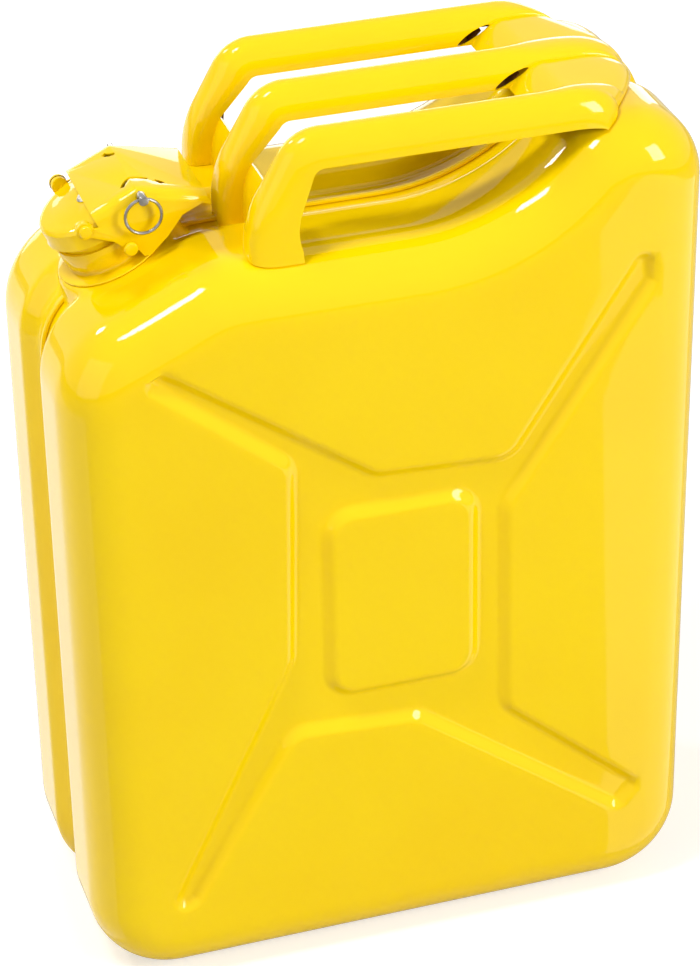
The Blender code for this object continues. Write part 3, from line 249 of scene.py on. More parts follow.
# %% Rounded outline
def rounded_outline(corners, step=math.radians(5.0)):
    """Points and outward normals of an anticlockwise polygon of (x, z, radius) corners."""
    points, normals = [], []
    for index, (x, z, radius) in enumerate(corners):
        here = np.array((x, z))
        before = np.array(corners[index - 1][:2])
        after = np.array(corners[(index + 1) % len(corners)][:2])
        into = (here - before) / np.linalg.norm(here - before)
        out = (after - here) / np.linalg.norm(after - here)
        turn = math.atan2(into[0] * out[1] - into[1] * out[0], float(into @ out))
        start = np.array((into[1], -into[0]))
        side = 1.0 if turn > 0.0 else -1.0
        centre = here - into * radius * math.tan(abs(turn) / 2.0) - start * radius * side
        pieces = max(1, round(abs(turn) / step))
        for number in range(pieces + 1):
            angle = turn * number / pieces
            cosine, sine = math.cos(angle), math.sin(angle)
            normals.append(np.array(((cosine, -sine), (sine, cosine))) @ start)
            points.append(centre + normals[-1] * radius * side)
    return np.array(points), np.array(normals)


# %% The can's silhouette
HALF_WIDTH = 169.5 * MM
TOP = 470.0 * MM
SADDLE = 421.5 * MM
SHOULDER_X = -90.0 * MM
SHOULDER_SLOPE = math.radians(25.0)
NECK_X = -122.0 * MM
NECK_Z = SADDLE - (SHOULDER_X - NECK_X) * math.tan(SHOULDER_SLOPE)
FRONT_Z = SADDLE - (SHOULDER_X + HALF_WIDTH) * math.tan(SHOULDER_SLOPE)
HUMP_X, VALLEY_X = 110.5 * MM, 62.0 * MM
FOOT_RADIUS, FRONT_RADIUS, SHOULDER_RADIUS = 46.0 * MM, 50.0 * MM, 62.0 * MM
HUMP_REAR_RADIUS, HUMP_FRONT_RADIUS, VALLEY_RADIUS = 39.0 * MM, 44.0 * MM, 110.0 * MM
body_corners = [
    (-HALF_WIDTH, 0.0, FOOT_RADIUS), (HALF_WIDTH, 0.0, FOOT_RADIUS),
    (HALF_WIDTH, TOP, HUMP_REAR_RADIUS), (HUMP_X, TOP, HUMP_FRONT_RADIUS),
    (VALLEY_X, SADDLE, VALLEY_RADIUS), (SHOULDER_X, SADDLE, SHOULDER_RADIUS),
    (-HALF_WIDTH, FRONT_Z, FRONT_RADIUS),
]
print("corners of the silhouette:", len(body_corners))

# %% More points on the straight runs
SHORT_STEP, LONG_STEP, NECK_ZONE = 2.5 * MM, 10.0 * MM, 50.0 * MM


def split_long_runs(points, normals, longest):
    """Add points on the straight runs; longest gives the longest step allowed at a place."""
    new_points, new_normals = [], []
    for index in range(len(points)):
        after = (index + 1) % len(points)
        run = points[after] - points[index]
        turn = normals[after] - normals[index]
        pieces = max(1, math.ceil(np.linalg.norm(run) / longest(points[index] + run / 2.0)))
        for number in range(pieces):
            new_points.append(points[index] + run * number / pieces)
            new_normals.append(normals[index] + turn * number / pieces)
    return np.array(new_points), np.array(new_normals)


def body_step(place):
    """Short steps round the neck, where the boss is drawn, and long ones elsewhere."""
    away = math.hypot(place[0] - NECK_X, place[1] - NECK_Z)
    return SHORT_STEP if away < NECK_ZONE else LONG_STEP


silhouette = rounded_outline(body_corners, math.radians(3.0))
body_points, body_normals = split_long_runs(*silhouette, body_step)
print("points round the can:", len(body_points))

# %% The section from the weld groove round to the face
HALF_DEPTH = 83.0 * MM
EDGE_RADIUS = 30.0 * MM
GROOVE_DEPTH = 8.0 * MM
GROOVE_HALF_WIDTH, FLANK_WIDTH = 11.5 * MM, 12.0 * MM
GROOVE_ROWS = (0.15, 3.0, 6.0, 9.0)  # distances from the seam, in mm
SIDE_ROWS = (26.5, 29.5, 32.5, 35.5, 38.5, 42.0, 47.0)
FLANK_STEPS, EDGE_STEPS = 10, 15


def eased_share(share):
    """A share from 0 to 1 that starts and ends without a kink."""
    return share * share * (3.0 - 2.0 * share)


def wall_section():
    """(distance from the seam, how far inside the silhouette) down one half of a narrow side."""
    rows = [(place * MM, GROOVE_DEPTH) for place in GROOVE_ROWS]
    for number in range(FLANK_STEPS + 1):
        share = number / FLANK_STEPS
        rows.append((GROOVE_HALF_WIDTH + FLANK_WIDTH * share, GROOVE_DEPTH * (1.0 - eased_share(share))))
    rows += [(place * MM, 0.0) for place in SIDE_ROWS]
    for number in range(EDGE_STEPS + 1):
        angle = math.pi / 2 * number / EDGE_STEPS
        rows.append((HALF_DEPTH - EDGE_RADIUS * (1.0 - math.sin(angle)),
                     EDGE_RADIUS * (1.0 - math.cos(angle))))
    return rows


print("rows across half of a narrow side:", len(wall_section()))

# %% [markdown]
# ## The pressed pattern
# A press draws a sunk cross into each flat face and leaves a panel standing in its middle. The
# depth follows one rule: it depends only on how far a place lies inside the cross's edge. So the
# blank is made flat, with that distance stored on every point, and a small Geometry Nodes tree
# does the pressing. Its depth and the width of the draw can be changed afterwards, as with a tool.

# %% Outlines of the cross, of the panel and of the small bar above them
TIP = 4.4 * MM
CORNER = 15.0 * MM
cross_places = [
    (-131, 45, TIP), (-116, 52, TIP), (-60, 149, CORNER), (10, 145, CORNER),
    (126, 57, TIP), (137, 71, TIP), (59, 139, CORNER), (58, 266, CORNER),
    (137, 384, TIP), (134, 406, TIP), (61, 294, CORNER), (-12, 298, CORNER),
    (-134, 385, TIP), (-126.5, 369, TIP), (-56, 312, CORNER), (-59, 194, CORNER),
]
cross_corners = [(x * MM, z * MM, radius) for x, z, radius in cross_places]


def block(x, z, half_width, half_height, radius):
    """Corners of a rounded rectangle, anticlockwise."""
    return [((x + a * half_width) * MM, (z + b * half_height) * MM, radius * MM)
            for a, b in ((-1, -1), (1, -1), (1, 1), (-1, 1))]


panel_corners = block(1.8, 222.4, 40.0, 55.5, 14.0)
bar_corners = block(0.0, 395.0, 20.0, 2.5, 2.4)


def distance_inside(places, outline):
    """Signed distance of each place to a closed outline, positive inside."""
    starts, ends = outline, np.roll(outline, -1, axis=0)
    runs = ends - starts
    offsets = places[:, None, :] - starts[None, :, :]
    share = np.clip((offsets * runs).sum(2) / (runs * runs).sum(1), 0.0, 1.0)
    gaps = np.linalg.norm(offsets - share[:, :, None] * runs, axis=2).min(1)
    crosses = (starts[None, :, 1] > places[:, None, 1]) != (ends[None, :, 1] > places[:, None, 1])
    slope = runs[:, 0] / np.where(runs[:, 1] == 0.0, 1e-12, runs[:, 1])
    height = places[:, None, 1] - starts[None, :, 1]
    left = places[:, None, 0] < starts[None, :, 0] + height * slope
    inside = (crosses & left).sum(1) % 2 == 1
    return np.where(inside, gaps, -gaps)


cross_outline = rounded_outline(cross_corners)[0]
panel_outline = rounded_outline(panel_corners)[0]
bar_outline = rounded_outline(bar_corners, math.radians(20.0))[0]
print("points on the three outlines:", len(cross_outline), len(panel_outline), len(bar_outline))

# %% Points for the face, in rows along every pressed edge
CLOSE_ROWS = np.array((0.4, 1.2, 2.0, 2.9, 3.8, 5.0)) * MM
CROSS_ROWS = np.concatenate((-CLOSE_ROWS[::-1], CLOSE_ROWS))
BAR_ROWS = np.array((-1.4, -0.8, -0.4, 0.0, 0.4, 0.8, 1.6)) * MM
ROW_STEP, BAR_ROW_STEP = 3.0 * MM, 1.5 * MM
OFF_EDGE, OFF_BAR, OFF_RIM = 8.0 * MM, 4.0 * MM, 2.5 * MM


def rows_along(corners, outline, distances, step):
    """Places on lines that run beside an outline at the given distances inside it."""
    points, normals = split_long_runs(*rounded_outline(corners), lambda place: step)
    kept = []
    for distance in distances:
        moved = points - normals * distance
        right_distance = np.abs(distance_inside(moved, outline) - distance) < 0.08 * MM
        kept.append(moved[right_distance])
    return np.concatenate(kept)


def face_places(rim):
    """Points inside a face's rim: rows beside the pressed edges and a wide grid elsewhere."""
    cross_rows = rows_along(cross_corners, cross_outline, CROSS_ROWS, ROW_STEP)
    panel_rows = rows_along(panel_corners, panel_outline, CROSS_ROWS, ROW_STEP)
    bar_rows = rows_along(bar_corners, bar_outline, BAR_ROWS, BAR_ROW_STEP)
    across = np.arange(-150, 151, 7) * MM
    along = np.arange(20, 460, 7) * MM
    grid = np.array([(x, z) for x in across for z in along])
    edge_gap = np.minimum(np.abs(distance_inside(grid, cross_outline)),
                          np.abs(distance_inside(grid, panel_outline)))
    off_bar = distance_inside(grid, bar_outline) < -OFF_BAR
    places = np.concatenate((cross_rows, panel_rows, bar_rows, grid[(edge_gap > OFF_EDGE) & off_bar]))
    return places[distance_inside(places, rim) > OFF_RIM]


face_rim = body_points - body_normals * EDGE_RADIUS
face_points = face_places(face_rim)
print("points inside a face:", len(face_points))

# %% The boss for the neck
closure = Matrix.Translation((NECK_X, 0.0, NECK_Z)) @ Matrix.Rotation(-SHOULDER_SLOPE, 4, "Y")
to_neck = closure.inverted()
BOSS_RADIUS = 33.0 * MM
BOSS_HEIGHT = 1.4 * MM
BOSS_SOFTNESS = 5.0 * MM
BOSS_REACH = 20.0 * MM


def with_boss(place):
    """Lift a place near the neck to the boss's level, softly round the boss's edge."""
    t, y, n = to_neck @ place
    share = (math.hypot(t, y) - BOSS_RADIUS + BOSS_SOFTNESS * 0.3) / BOSS_SOFTNESS
    share = 1.0 - min(1.0, max(0.0, share))
    if n < -BOSS_REACH or share == 0.0:
        return place
    return closure @ Vector((t, y, n + (BOSS_HEIGHT - n) * eased_share(share)))


print("the boss lifts the groove's floor to", with_boss(Vector((NECK_X, 0.0, NECK_Z - GROOVE_DEPTH))))

# %% The flat blank of one half
def finish_mesh(builder, name):
    """The mesh that a builder holds, under a name."""
    mesh = bpy.data.meshes.new(name)
    builder.to_mesh(mesh)
    builder.free()
    return mesh


def make_blank(name, side):
    """Wall and face of one half, not yet pressed; side is -1 near and 1 far."""
    builder = bmesh.new()
    rings = []
    for distance, inset in wall_section():
        moved = body_points - body_normals * inset
        places = [with_boss(Vector((x, side * distance, z))) for x, z in moved]
        rings.append([builder.verts.new(place) for place in places])
    count = len(body_points)
    for lower, upper in zip(rings, rings[1:]):
        for index in range(count):
            after = (index + 1) % count
            builder.faces.new((lower[index], lower[after], upper[after], upper[index]))
    flat = [Vector(place) for place in np.concatenate((face_rim, face_points))]
    edges = [(index, (index + 1) % count) for index in range(count)]
    places, _, triangles, sources, _, _ = delaunay_2d_cdt(flat, edges, [], 1, 1e-7)
    verts = []
    for place, source in zip(places, sources):
        on_rim = [number for number in source if number < count]
        verts.append(rings[-1][on_rim[0]] if on_rim
                     else builder.verts.new((place[0], side * HALF_DEPTH, place[1])))
    for triangle in triangles:
        corners = [verts[index] for index in triangle]
        if len(set(corners)) == 3:
            builder.faces.new(corners)
    bmesh.ops.recalc_face_normals(builder, faces=builder.faces)
    if sum(face.normal.y * face.calc_area() for face in builder.faces) * side < 0.0:
        bmesh.ops.reverse_faces(builder, faces=builder.faces)
    return finish_mesh(builder, name)


blanks = {"near": make_blank("near_blank", -1.0), "far": make_blank("far_blank", 1.0)}
print("faces of the near blank:", len(blanks["near"].polygons))

# %% The distances that the press will read
def store_distances(mesh):
    """How far every point lies inside the cross, the panel and the bar; -1 m off the face."""
    places = np.empty(len(mesh.vertices) * 3, np.float32)
    mesh.vertices.foreach_get("co", places)
    places = places.reshape(-1, 3)
    on_face = np.abs(places[:, 1]) > HALF_DEPTH - 0.01 * MM
    outlines = {"into_cross": cross_outline, "into_panel": panel_outline, "into_bar": bar_outline}
    for name, outline in outlines.items():
        values = np.full(len(places), -1.0, np.float32)
        values[on_face] = distance_inside(places[on_face][:, [0, 2]].astype(float), outline)
        mesh.attributes.new(name, "FLOAT", "POINT").data.foreach_set("value", values)


for label, blank in blanks.items():
    store_distances(blank)
    print(label, "blank carries", [name for name in blank.attributes.keys() if name.startswith("into")])

# %% Helpers for Geometry Nodes trees
def new_tree(name, inputs):
    """A Geometry Nodes group with a geometry input, the named inputs and a geometry output."""
    tree = bpy.data.node_groups.new(name, "GeometryNodeTree")
    tree.interface.new_socket("Geometry", in_out="INPUT", socket_type="NodeSocketGeometry")
    for label, kind, value in inputs:
        socket = tree.interface.new_socket(label, in_out="INPUT", socket_type=kind)
        if value is not None:
            socket.default_value = value
    tree.interface.new_socket("Geometry", in_out="OUTPUT", socket_type="NodeSocketGeometry")
    entry = tree.nodes.new("NodeGroupInput")
    wires = {socket.name: Wire(tree, socket) for socket in entry.outputs if socket.name}
    return tree, wires


def close_tree(tree, geometry, material):
    """Realize Instances and Set Material, then the group's output."""
    solid = geometry.node("GeometryNodeRealizeInstances", None, {"Geometry": geometry})
    painted = solid.node("GeometryNodeSetMaterial", None, {"Geometry": solid, "Material": material})
    exit_node = tree.nodes.new("NodeGroupOutput")
    painted.into(exit_node.inputs[0])


def apply_modifiers(item):
    """Turn an object's modifiers into plain mesh."""
    graph = bpy.context.evaluated_depsgraph_get()
    mesh = bpy.data.meshes.new_from_object(item.evaluated_get(graph))
    item.modifiers.clear()
    item.data = mesh
    return item


def grow(name, mesh, tree, values):
    """Run a tree on a mesh with its inputs set, and return a plain object with the result."""
    item = place_object(name, mesh)
    modifier = item.modifiers.new("tree", "NODES")
    modifier.node_group = tree
    for socket in tree.interface.items_tree:
        if socket.in_out == "INPUT" and socket.name in values:
            modifier[socket.identifier] = values[socket.name]
    return apply_modifiers(item)


print("tree helpers: new_tree, close_tree, apply_modifiers, grow")

# %% The press
PRESS_DEPTH, DRAW_WIDTH, BAR_HEIGHT = 4.5 * MM, 8.5 * MM, 0.8 * MM


def press_tree():
    """Sink the cross and raise the bar by the distances stored on the blank."""
    tree, wires = new_tree("press_the_face", [
        ("Press depth", "NodeSocketFloat", PRESS_DEPTH), ("Draw width", "NodeSocketFloat", DRAW_WIDTH),
        ("Bar height", "NodeSocketFloat", BAR_HEIGHT), ("Direction", "NodeSocketFloat", 1.0),
        ("Material", "NodeSocketMaterial", None)])
    start = Wire(tree)

    def drawn(attribute, width):
        inside = start.node("GeometryNodeInputNamedAttribute", {"data_type": "FLOAT"},
                            {"Name": attribute})
        return smooth_step(inside, width * -0.5, width * 0.5)

    cross = drawn("into_cross", wires["Draw width"])
    panel = drawn("into_panel", wires["Draw width"])
    bar = drawn("into_bar", wires["Bar height"] * 2.0)
    depth = cross * (1.0 - panel) * wires["Press depth"] - bar * wires["Bar height"]
    offset = depth.node("ShaderNodeCombineXYZ", None, {"Y": depth * wires["Direction"]})
    pressed = start.node("GeometryNodeSetPosition", None,
                         {"Geometry": wires["Geometry"], "Offset": offset})
    smooth = pressed.node("GeometryNodeSetShadeSmooth", None, {"Geometry": pressed})
    close_tree(tree, smooth, wires["Material"])
    return tree


press = press_tree()
halves = {}
for label, side in (("near", -1.0), ("far", 1.0)):
    halves[label] = grow(label + "_pressed_half", blanks[label], press,
                         {"Press depth": PRESS_DEPTH, "Draw width": DRAW_WIDTH,
                          "Bar height": BAR_HEIGHT, "Direction": -side, "Material": enamel})
    print(label, "half pressed:", len(halves[label].data.polygons), "faces")

# %% Tools to cut a hole and to smooth a skin
def cut(item, tool):
    """Take a tool's volume out of a piece, and put the tool away."""
    hole = item.modifiers.new("hole", "BOOLEAN")
    hole.operation = "DIFFERENCE"
    hole.solver = "EXACT"
    hole.object = tool
    apply_modifiers(item)
    bpy.data.objects.remove(tool)


def smooth_skin(item, sharpest):
    """Shade a piece smooth, but keep edges sharp where they turn by more than an angle in degrees."""
    item.data.shade_smooth()
    item.data.set_sharp_from_angle(angle=math.radians(sharpest))


def neck_drill(radius, reach):
    """A cylinder along the neck, placed in the closure's tilted frame."""
    builder = bmesh.new()
    bmesh.ops.create_cone(builder, cap_ends=True, segments=96, radius1=radius, radius2=radius,
                          depth=reach * 2.0)
    mesh = finish_mesh(builder, "neck_drill")
    mesh.transform(closure)
    return place_object("neck_drill", mesh)


print("tools: cut, smooth_skin, neck_drill")

# %% The sheet's thickness and the hole for the neck
SHELL_SHEET = 1.0 * MM
NECK_HOLE_RADIUS, DRILL_REACH = 23.8 * MM, 25.0 * MM

for label, half in halves.items():
    wall = half.modifiers.new("sheet", "SOLIDIFY")
    wall.thickness = SHELL_SHEET
    wall.offset = -1.0
    apply_modifiers(half)
    cut(half, neck_drill(NECK_HOLE_RADIUS, DRILL_REACH))
    half.data.materials.clear()
    half.data.materials.append(enamel)
    smooth_skin(half, 35.0)
    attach(half, "can")
    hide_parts(label + "_half_shell")
    print(label, "half:", len(half.data.polygons), "faces with its thickness")

# %% [markdown]
# ## Weld flange
# Where the two halves meet, their edges stand up as a thin double lip in the bottom of the groove,
# and a seam welder runs along it. It follows the can's outline, so a curve sweeps a small
# rectangle along that path in Geometry Nodes. The path is left open at the neck.

# %% Swept flange
LIP_THICKNESS, LIP_HEIGHT, LIP_ROUNDING = 2.2 * MM, 3.2 * MM, 0.7 * MM
LIP_INSET, NECK_ROOM, NECK_REACH = 6.6 * MM, 25.0 * MM, 60.0 * MM


def sweep_tree():
    """Carry a rounded rectangle along the path that comes in as edges."""
    tree, wires = new_tree("sweep_the_flange", [
        ("Thickness", "NodeSocketFloat", LIP_THICKNESS), ("Height", "NodeSocketFloat", LIP_HEIGHT),
        ("Rounding", "NodeSocketFloat", LIP_ROUNDING), ("Material", "NodeSocketMaterial", None)])
    path = wires["Geometry"].node("GeometryNodeMeshToCurve", None, {"Mesh": wires["Geometry"]})
    section = path.node("GeometryNodeCurvePrimitiveQuadrilateral", {"mode": "RECTANGLE"},
                        {"Width": wires["Height"], "Height": wires["Thickness"]})
    rounded = section.node("GeometryNodeFilletCurve", {"mode": "POLY"},
                           {"Curve": section, "Count": 3, "Radius": wires["Rounding"]})
    swept = path.node("GeometryNodeCurveToMesh", None,
                      {"Curve": path, "Profile Curve": rounded, "Fill Caps": True})
    smooth = swept.node("GeometryNodeSetShadeSmooth", None, {"Geometry": swept})
    close_tree(tree, smooth, wires["Material"])
    return tree


def seam_path(inset, room):
    """The can's outline moved in, open where it comes nearer than room to the neck."""
    places = body_points - body_normals * inset
    seen_from_neck = [to_neck @ Vector((x, 0.0, z)) for x, z in places]
    clear = [abs(place.x) > room or place.z < -NECK_REACH for place in seen_from_neck]
    count = len(places)
    first = next(index for index in range(count) if clear[index] and not clear[index - 1])
    order = [(first + number) % count for number in range(count) if clear[(first + number) % count]]
    mesh = bpy.data.meshes.new("seam_path")
    mesh.from_pydata([(places[index][0], 0.0, places[index][1]) for index in order],
                     [(number, number + 1) for number in range(len(order) - 1)], [])
    return mesh


flange = grow("seam_flange", seam_path(LIP_INSET, NECK_ROOM), sweep_tree(), {"Material": enamel})
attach(flange, "can")
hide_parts("near_half_shell", "far_half_shell")
print("seam flange:", len(flange.data.polygons), "faces")

# %% [markdown]
# ## Handle
# Three open channels and the webs between them are one pressing, so that one person can hold the
# middle bar or two people an outer bar each. Every point follows one rule: a column across the
# sheet, half round over a bar and flat on a web, is carried up the legs, over the bars and down
# the rear foot. The rule is sampled finely into a grid, and the sheet gets its thickness last.
# Behind the slots the channels stay open in crescents, made dark by a thin strip of painted shade
# under each bar's end; the inner side of the sheet gets the same painted shade.

# %% Sizes of the handle
HANDLE_TOP = 485.0 * MM
HANDLE_SHEET = 1.6 * MM
BAR_DEPTH, BAR_RADIUS, BAR_PITCH = 17.5 * MM, 11.0 * MM, 58.0 * MM
LEG_FOOT_X, LEG_KNEE_Z, LEG_DEPTH, WEB_DEPTH = -70.0 * MM, SADDLE + 18.0 * MM, 27.0 * MM, 12.0 * MM
WEB_TOP = HANDLE_TOP - 27.0 * MM
KNEE_RADIUS, BEND_RADIUS, BEND_ANGLE = 60.0 * MM, 24.0 * MM, math.radians(62.0)
BAR_START_X, SLOT_REAR_X, REAR_START_X, HANDLE_REAR_X = -29.0 * MM, 84.0 * MM, 102.0 * MM, 124.0 * MM
CHANNEL_END_DEPTH, FOOT_SQUARENESS = 5.0 * MM, 0.9
ARCH_STEPS, WEB_STEPS, BAR_STEPS = 24, 12, 12
print("bars", BAR_PITCH, "m apart, top at", HANDLE_TOP)

# %% Columns across the handle
def handle_columns():
    """(y, crown, zone): crown 1 on top of a bar and 0 at a lip; zone outer, inner or web."""
    columns = []
    for bar in (-1, 0, 1):
        for number in range(ARCH_STEPS + 1):
            angle = math.pi * number / ARCH_STEPS
            past_crown = (number * 2 - ARCH_STEPS) * bar > 0
            columns.append((bar * BAR_PITCH - BAR_RADIUS * math.cos(angle), math.sin(angle),
                            "outer" if past_crown else "inner"))
        if bar < 1:
            start = bar * BAR_PITCH + BAR_RADIUS
            width = BAR_PITCH - 2.0 * BAR_RADIUS
            columns += [(start + width * number / WEB_STEPS, 0.0, "web")
                        for number in range(1, WEB_STEPS)]
    return columns


columns = handle_columns()
print("columns across the handle:", len(columns))

# %% Rows up the legs and over the bars
def leg_rows():
    """(origin, inward direction, outer depth, inner depth, has web, flatness) from foot to bar."""
    slant_x = LEG_FOOT_X + (HANDLE_TOP - LEG_KNEE_Z) / math.tan(BEND_ANGLE)
    foot, end = np.array((LEG_FOOT_X, SADDLE)), np.array((BAR_START_X, HANDLE_TOP))
    points, normals = rounded_outline([(*foot, 0.0), (LEG_FOOT_X, LEG_KNEE_Z, KNEE_RADIUS),
                                       (slant_x, HANDLE_TOP, BEND_RADIUS), (*end, 0.0)],
                                      math.radians(3.0))
    first = max(index for index, place in enumerate(points) if np.linalg.norm(place - foot) < 1e-9)
    last = min(index for index, place in enumerate(points) if np.linalg.norm(place - end) < 1e-9)
    points, normals = points[first:last + 1], normals[first:last + 1]
    bend_z = HANDLE_TOP - BEND_RADIUS * (1.0 - math.cos(BEND_ANGLE))
    rows = []
    for place, inward in zip(points, normals):
        share = min(1.0, max(0.0, (place[1] - SADDLE) / (bend_z - SADDLE)))
        outer = LEG_DEPTH + (BAR_DEPTH - LEG_DEPTH) * share
        inner = WEB_DEPTH + (BAR_DEPTH - WEB_DEPTH) * max(0.0, share * 3.0 - 2.0)
        rows.append((place, inward, outer, inner, place[1] < WEB_TOP, 1.0 - share))
    return rows


def handle_point(row, column):
    """The flanks of a leg are pressed flat towards its foot, so its section gets squarer."""
    origin, inward, outer, inner, _, flatness = row
    y, crown, zone = column
    bar = BAR_PITCH * round(y / BAR_PITCH)
    if zone != "web":
        power = 1.0 / (1.0 + FOOT_SQUARENESS * flatness)
        across = (y - bar) / BAR_RADIUS
        y = bar + BAR_RADIUS * math.copysign(min(1.0, abs(across)) ** power, across)
        crown = crown ** power
    place = origin + inward * (outer if zone == "outer" else inner) * (1.0 - crown)
    return Vector((place[0], y, place[1]))


print("rows on the legs:", len(leg_rows()))

# %% Where the sheet meets the can
SEAM_HALF_WIDTH, SEAM_INSET = 1.2 * MM, GROOVE_DEPTH - 3.0 * MM
SEAT_GAP, LIP_SPREAD, NEAR_GROOVE, NEAR_SEAM = 0.3 * MM, 3.0 * MM, 24.0 * MM, 5.0 * MM
section = [(0.0, SEAM_INSET), (SEAM_HALF_WIDTH, SEAM_INSET)] + wall_section()[1:]
upper = np.array([(*place, *normal) for place, normal in zip(body_points, body_normals)
                  if normal[1] > 0.05])[::-1]


def top_height(x, y):
    """Height of the can's upper side at a place seen from above."""
    inset = float(np.interp(abs(y), [row[0] for row in section], [row[1] for row in section]))
    return float(np.interp(x, upper[:, 0] - upper[:, 2] * inset, upper[:, 1] - upper[:, 3] * inset))


def seat_height(x, y):
    """Lowest height that clears the can round a lip of the sheet."""
    spread = LIP_SPREAD if abs(y) < NEAR_GROOVE else 0.0
    if abs(y) < NEAR_SEAM:
        spread = abs(y)
    inner_y = max(0.0, abs(y) - max(HANDLE_SHEET, spread))
    return SEAT_GAP + max(top_height(x + step, side) for step in (-HANDLE_SHEET, 0.0, HANDLE_SHEET)
                          for side in (inner_y, abs(y), abs(y) + spread))


print("a leg in the middle stands at", round(seat_height(LEG_FOOT_X, 0.0), 4))

# %% The rear foot
FLAT_SHARE, FLAT_ROWS, FALL_ROWS = 0.45, 14, 18
REAR_BOW, REAR_CORNER, REAR_SINK = 26.0 * MM, 9.0 * MM, 2.0 * MM


def rear_end_x(y):
    """The rear edge bows out in the middle and is rounded off at its two corners."""
    middle = max(0.0, 1.0 - abs(y) / BAR_PITCH)
    corner = max(0.0, (abs(y) - BAR_PITCH) / BAR_RADIUS)
    return HANDLE_REAR_X + REAR_BOW * math.sin(middle * math.pi / 2.0) - REAR_CORNER * corner ** 2


def channel_edge(x):
    """Height of a channel's lower edge, which rises to a shallow end behind the slots."""
    rise = min(1.0, max(0.0, (x - SLOT_REAR_X) / (REAR_START_X - SLOT_REAR_X)))
    return HANDLE_TOP - BAR_DEPTH + (BAR_DEPTH - CHANNEL_END_DEPTH) * math.sin(rise * math.pi / 2.0)


def rear_point(share, column):
    """Share runs from 0 at the slots' ends to 1 at the rear edge."""
    y, crown, zone = column
    x = SLOT_REAR_X + (rear_end_x(y) - SLOT_REAR_X) * share
    drop = max(0.0, (share - FLAT_SHARE) / (1.0 - FLAT_SHARE))
    top = HANDLE_TOP - REAR_SINK * drop
    low = max(HANDLE_TOP - BAR_DEPTH, seat_height(x, y)) if zone == "outer" else channel_edge(x)
    height = low + (top - low) * crown
    end = max(seat_height(x, y), seat_height(x - 2.0 * HANDLE_SHEET, y)) + SEAT_GAP
    fall = 1.0 - math.sqrt(max(0.0, 1.0 - drop ** 3))
    return Vector((x, y, height + (end - height) * fall))


shares = [FLAT_SHARE * number / FLAT_ROWS for number in range(FLAT_ROWS)]
shares += [FLAT_SHARE + (1.0 - FLAT_SHARE) * math.sin(math.pi / 2 * number / FALL_ROWS)
           for number in range(FALL_ROWS + 1)]
print("rows on the rear foot:", len(shares))

# %% The crescents where each bar's channel stays open beside a slot
CRESCENT_X, CRESCENT_Z, CRESCENT_TILT = 85.5 * MM, 472.6 * MM, math.radians(-28.0)
CRESCENT_HALF_LENGTH, CRESCENT_HALF_WIDTH = 10.0 * MM, 2.0 * MM
CUT_FROM, CUT_TO = 4.0 * MM, BAR_RADIUS + 0.6 * MM  # across the bar, from its middle


def crescents():
    """Four slanted lens shapes that cut only the flanks that face the slots."""
    builder = bmesh.new()
    turn = Matrix.Rotation(CRESCENT_TILT, 4, "Y") @ Matrix.Rotation(math.pi / 2, 4, "X")
    for bar, side in ((-1, 1), (0, -1), (0, 1), (1, -1)):
        middle_y = bar * BAR_PITCH + side * (CUT_FROM + CUT_TO) / 2.0
        place = Matrix.Translation((CRESCENT_X, middle_y, CRESCENT_Z))
        size = Matrix.Diagonal((CRESCENT_HALF_LENGTH, CRESCENT_HALF_WIDTH, CUT_TO - CUT_FROM, 1.0))
        bmesh.ops.create_cone(builder, cap_ends=True, segments=32, radius1=1.0, radius2=1.0,
                              depth=1.0, matrix=place @ turn @ size)
    return place_object("crescents", finish_mesh(builder, "crescents"))


print("each crescent is", CRESCENT_HALF_LENGTH * 2.0, "m long")

# %% Strips of painted shade behind the crescents
SHADE_STRIP_SHEET, SHADE_STRIP_HALF_WIDTH, SHADE_STRIP_START_X = 0.4 * MM, BAR_RADIUS - 1.7 * MM, 68.0 * MM
SHADE_STRIP_ROWS, SHADE_STRIP_ROW_STEP = 12, 2.0 * MM
SHADE_STRIP_SHARES = [number / 4 for number in range(-4, 5)]  # across a strip, from its middle


def make_shade_strips():
    """A thin arched strip of painted shade closes the underside of each bar's channel at its rear end."""
    builder = bmesh.new()
    for bar in (-1, 0, 1):
        rows = []
        for number in range(SHADE_STRIP_ROWS):
            x = SHADE_STRIP_START_X + SHADE_STRIP_ROW_STEP * number
            rows.append([builder.verts.new((x, bar * BAR_PITCH + share * SHADE_STRIP_HALF_WIDTH,
                                            channel_edge(x) + (1.5 - share * share) * MM))
                         for share in SHADE_STRIP_SHARES])
        for row, after in zip(rows, rows[1:]):
            for index in range(len(row) - 1):
                builder.faces.new((row[index], after[index], after[index + 1], row[index + 1]))
    strips = place_object("bar_end_shade_strips", finish_mesh(builder, "bar_end_shade_strips"))
    # the strip is painted shade, dark so that the crescents in front of it look deep
    strips.data.materials.append(painted_shade)
    sheet = strips.modifiers.new("sheet", "SOLIDIFY")
    sheet.thickness = SHADE_STRIP_SHEET
    apply_modifiers(strips)
    smooth_skin(strips, 40.0)
    return strips


shade_strips = make_shade_strips()
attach(shade_strips, "can")
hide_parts("triple_bar_handle")
print("gussets:", len(shade_strips.data.polygons), "faces")

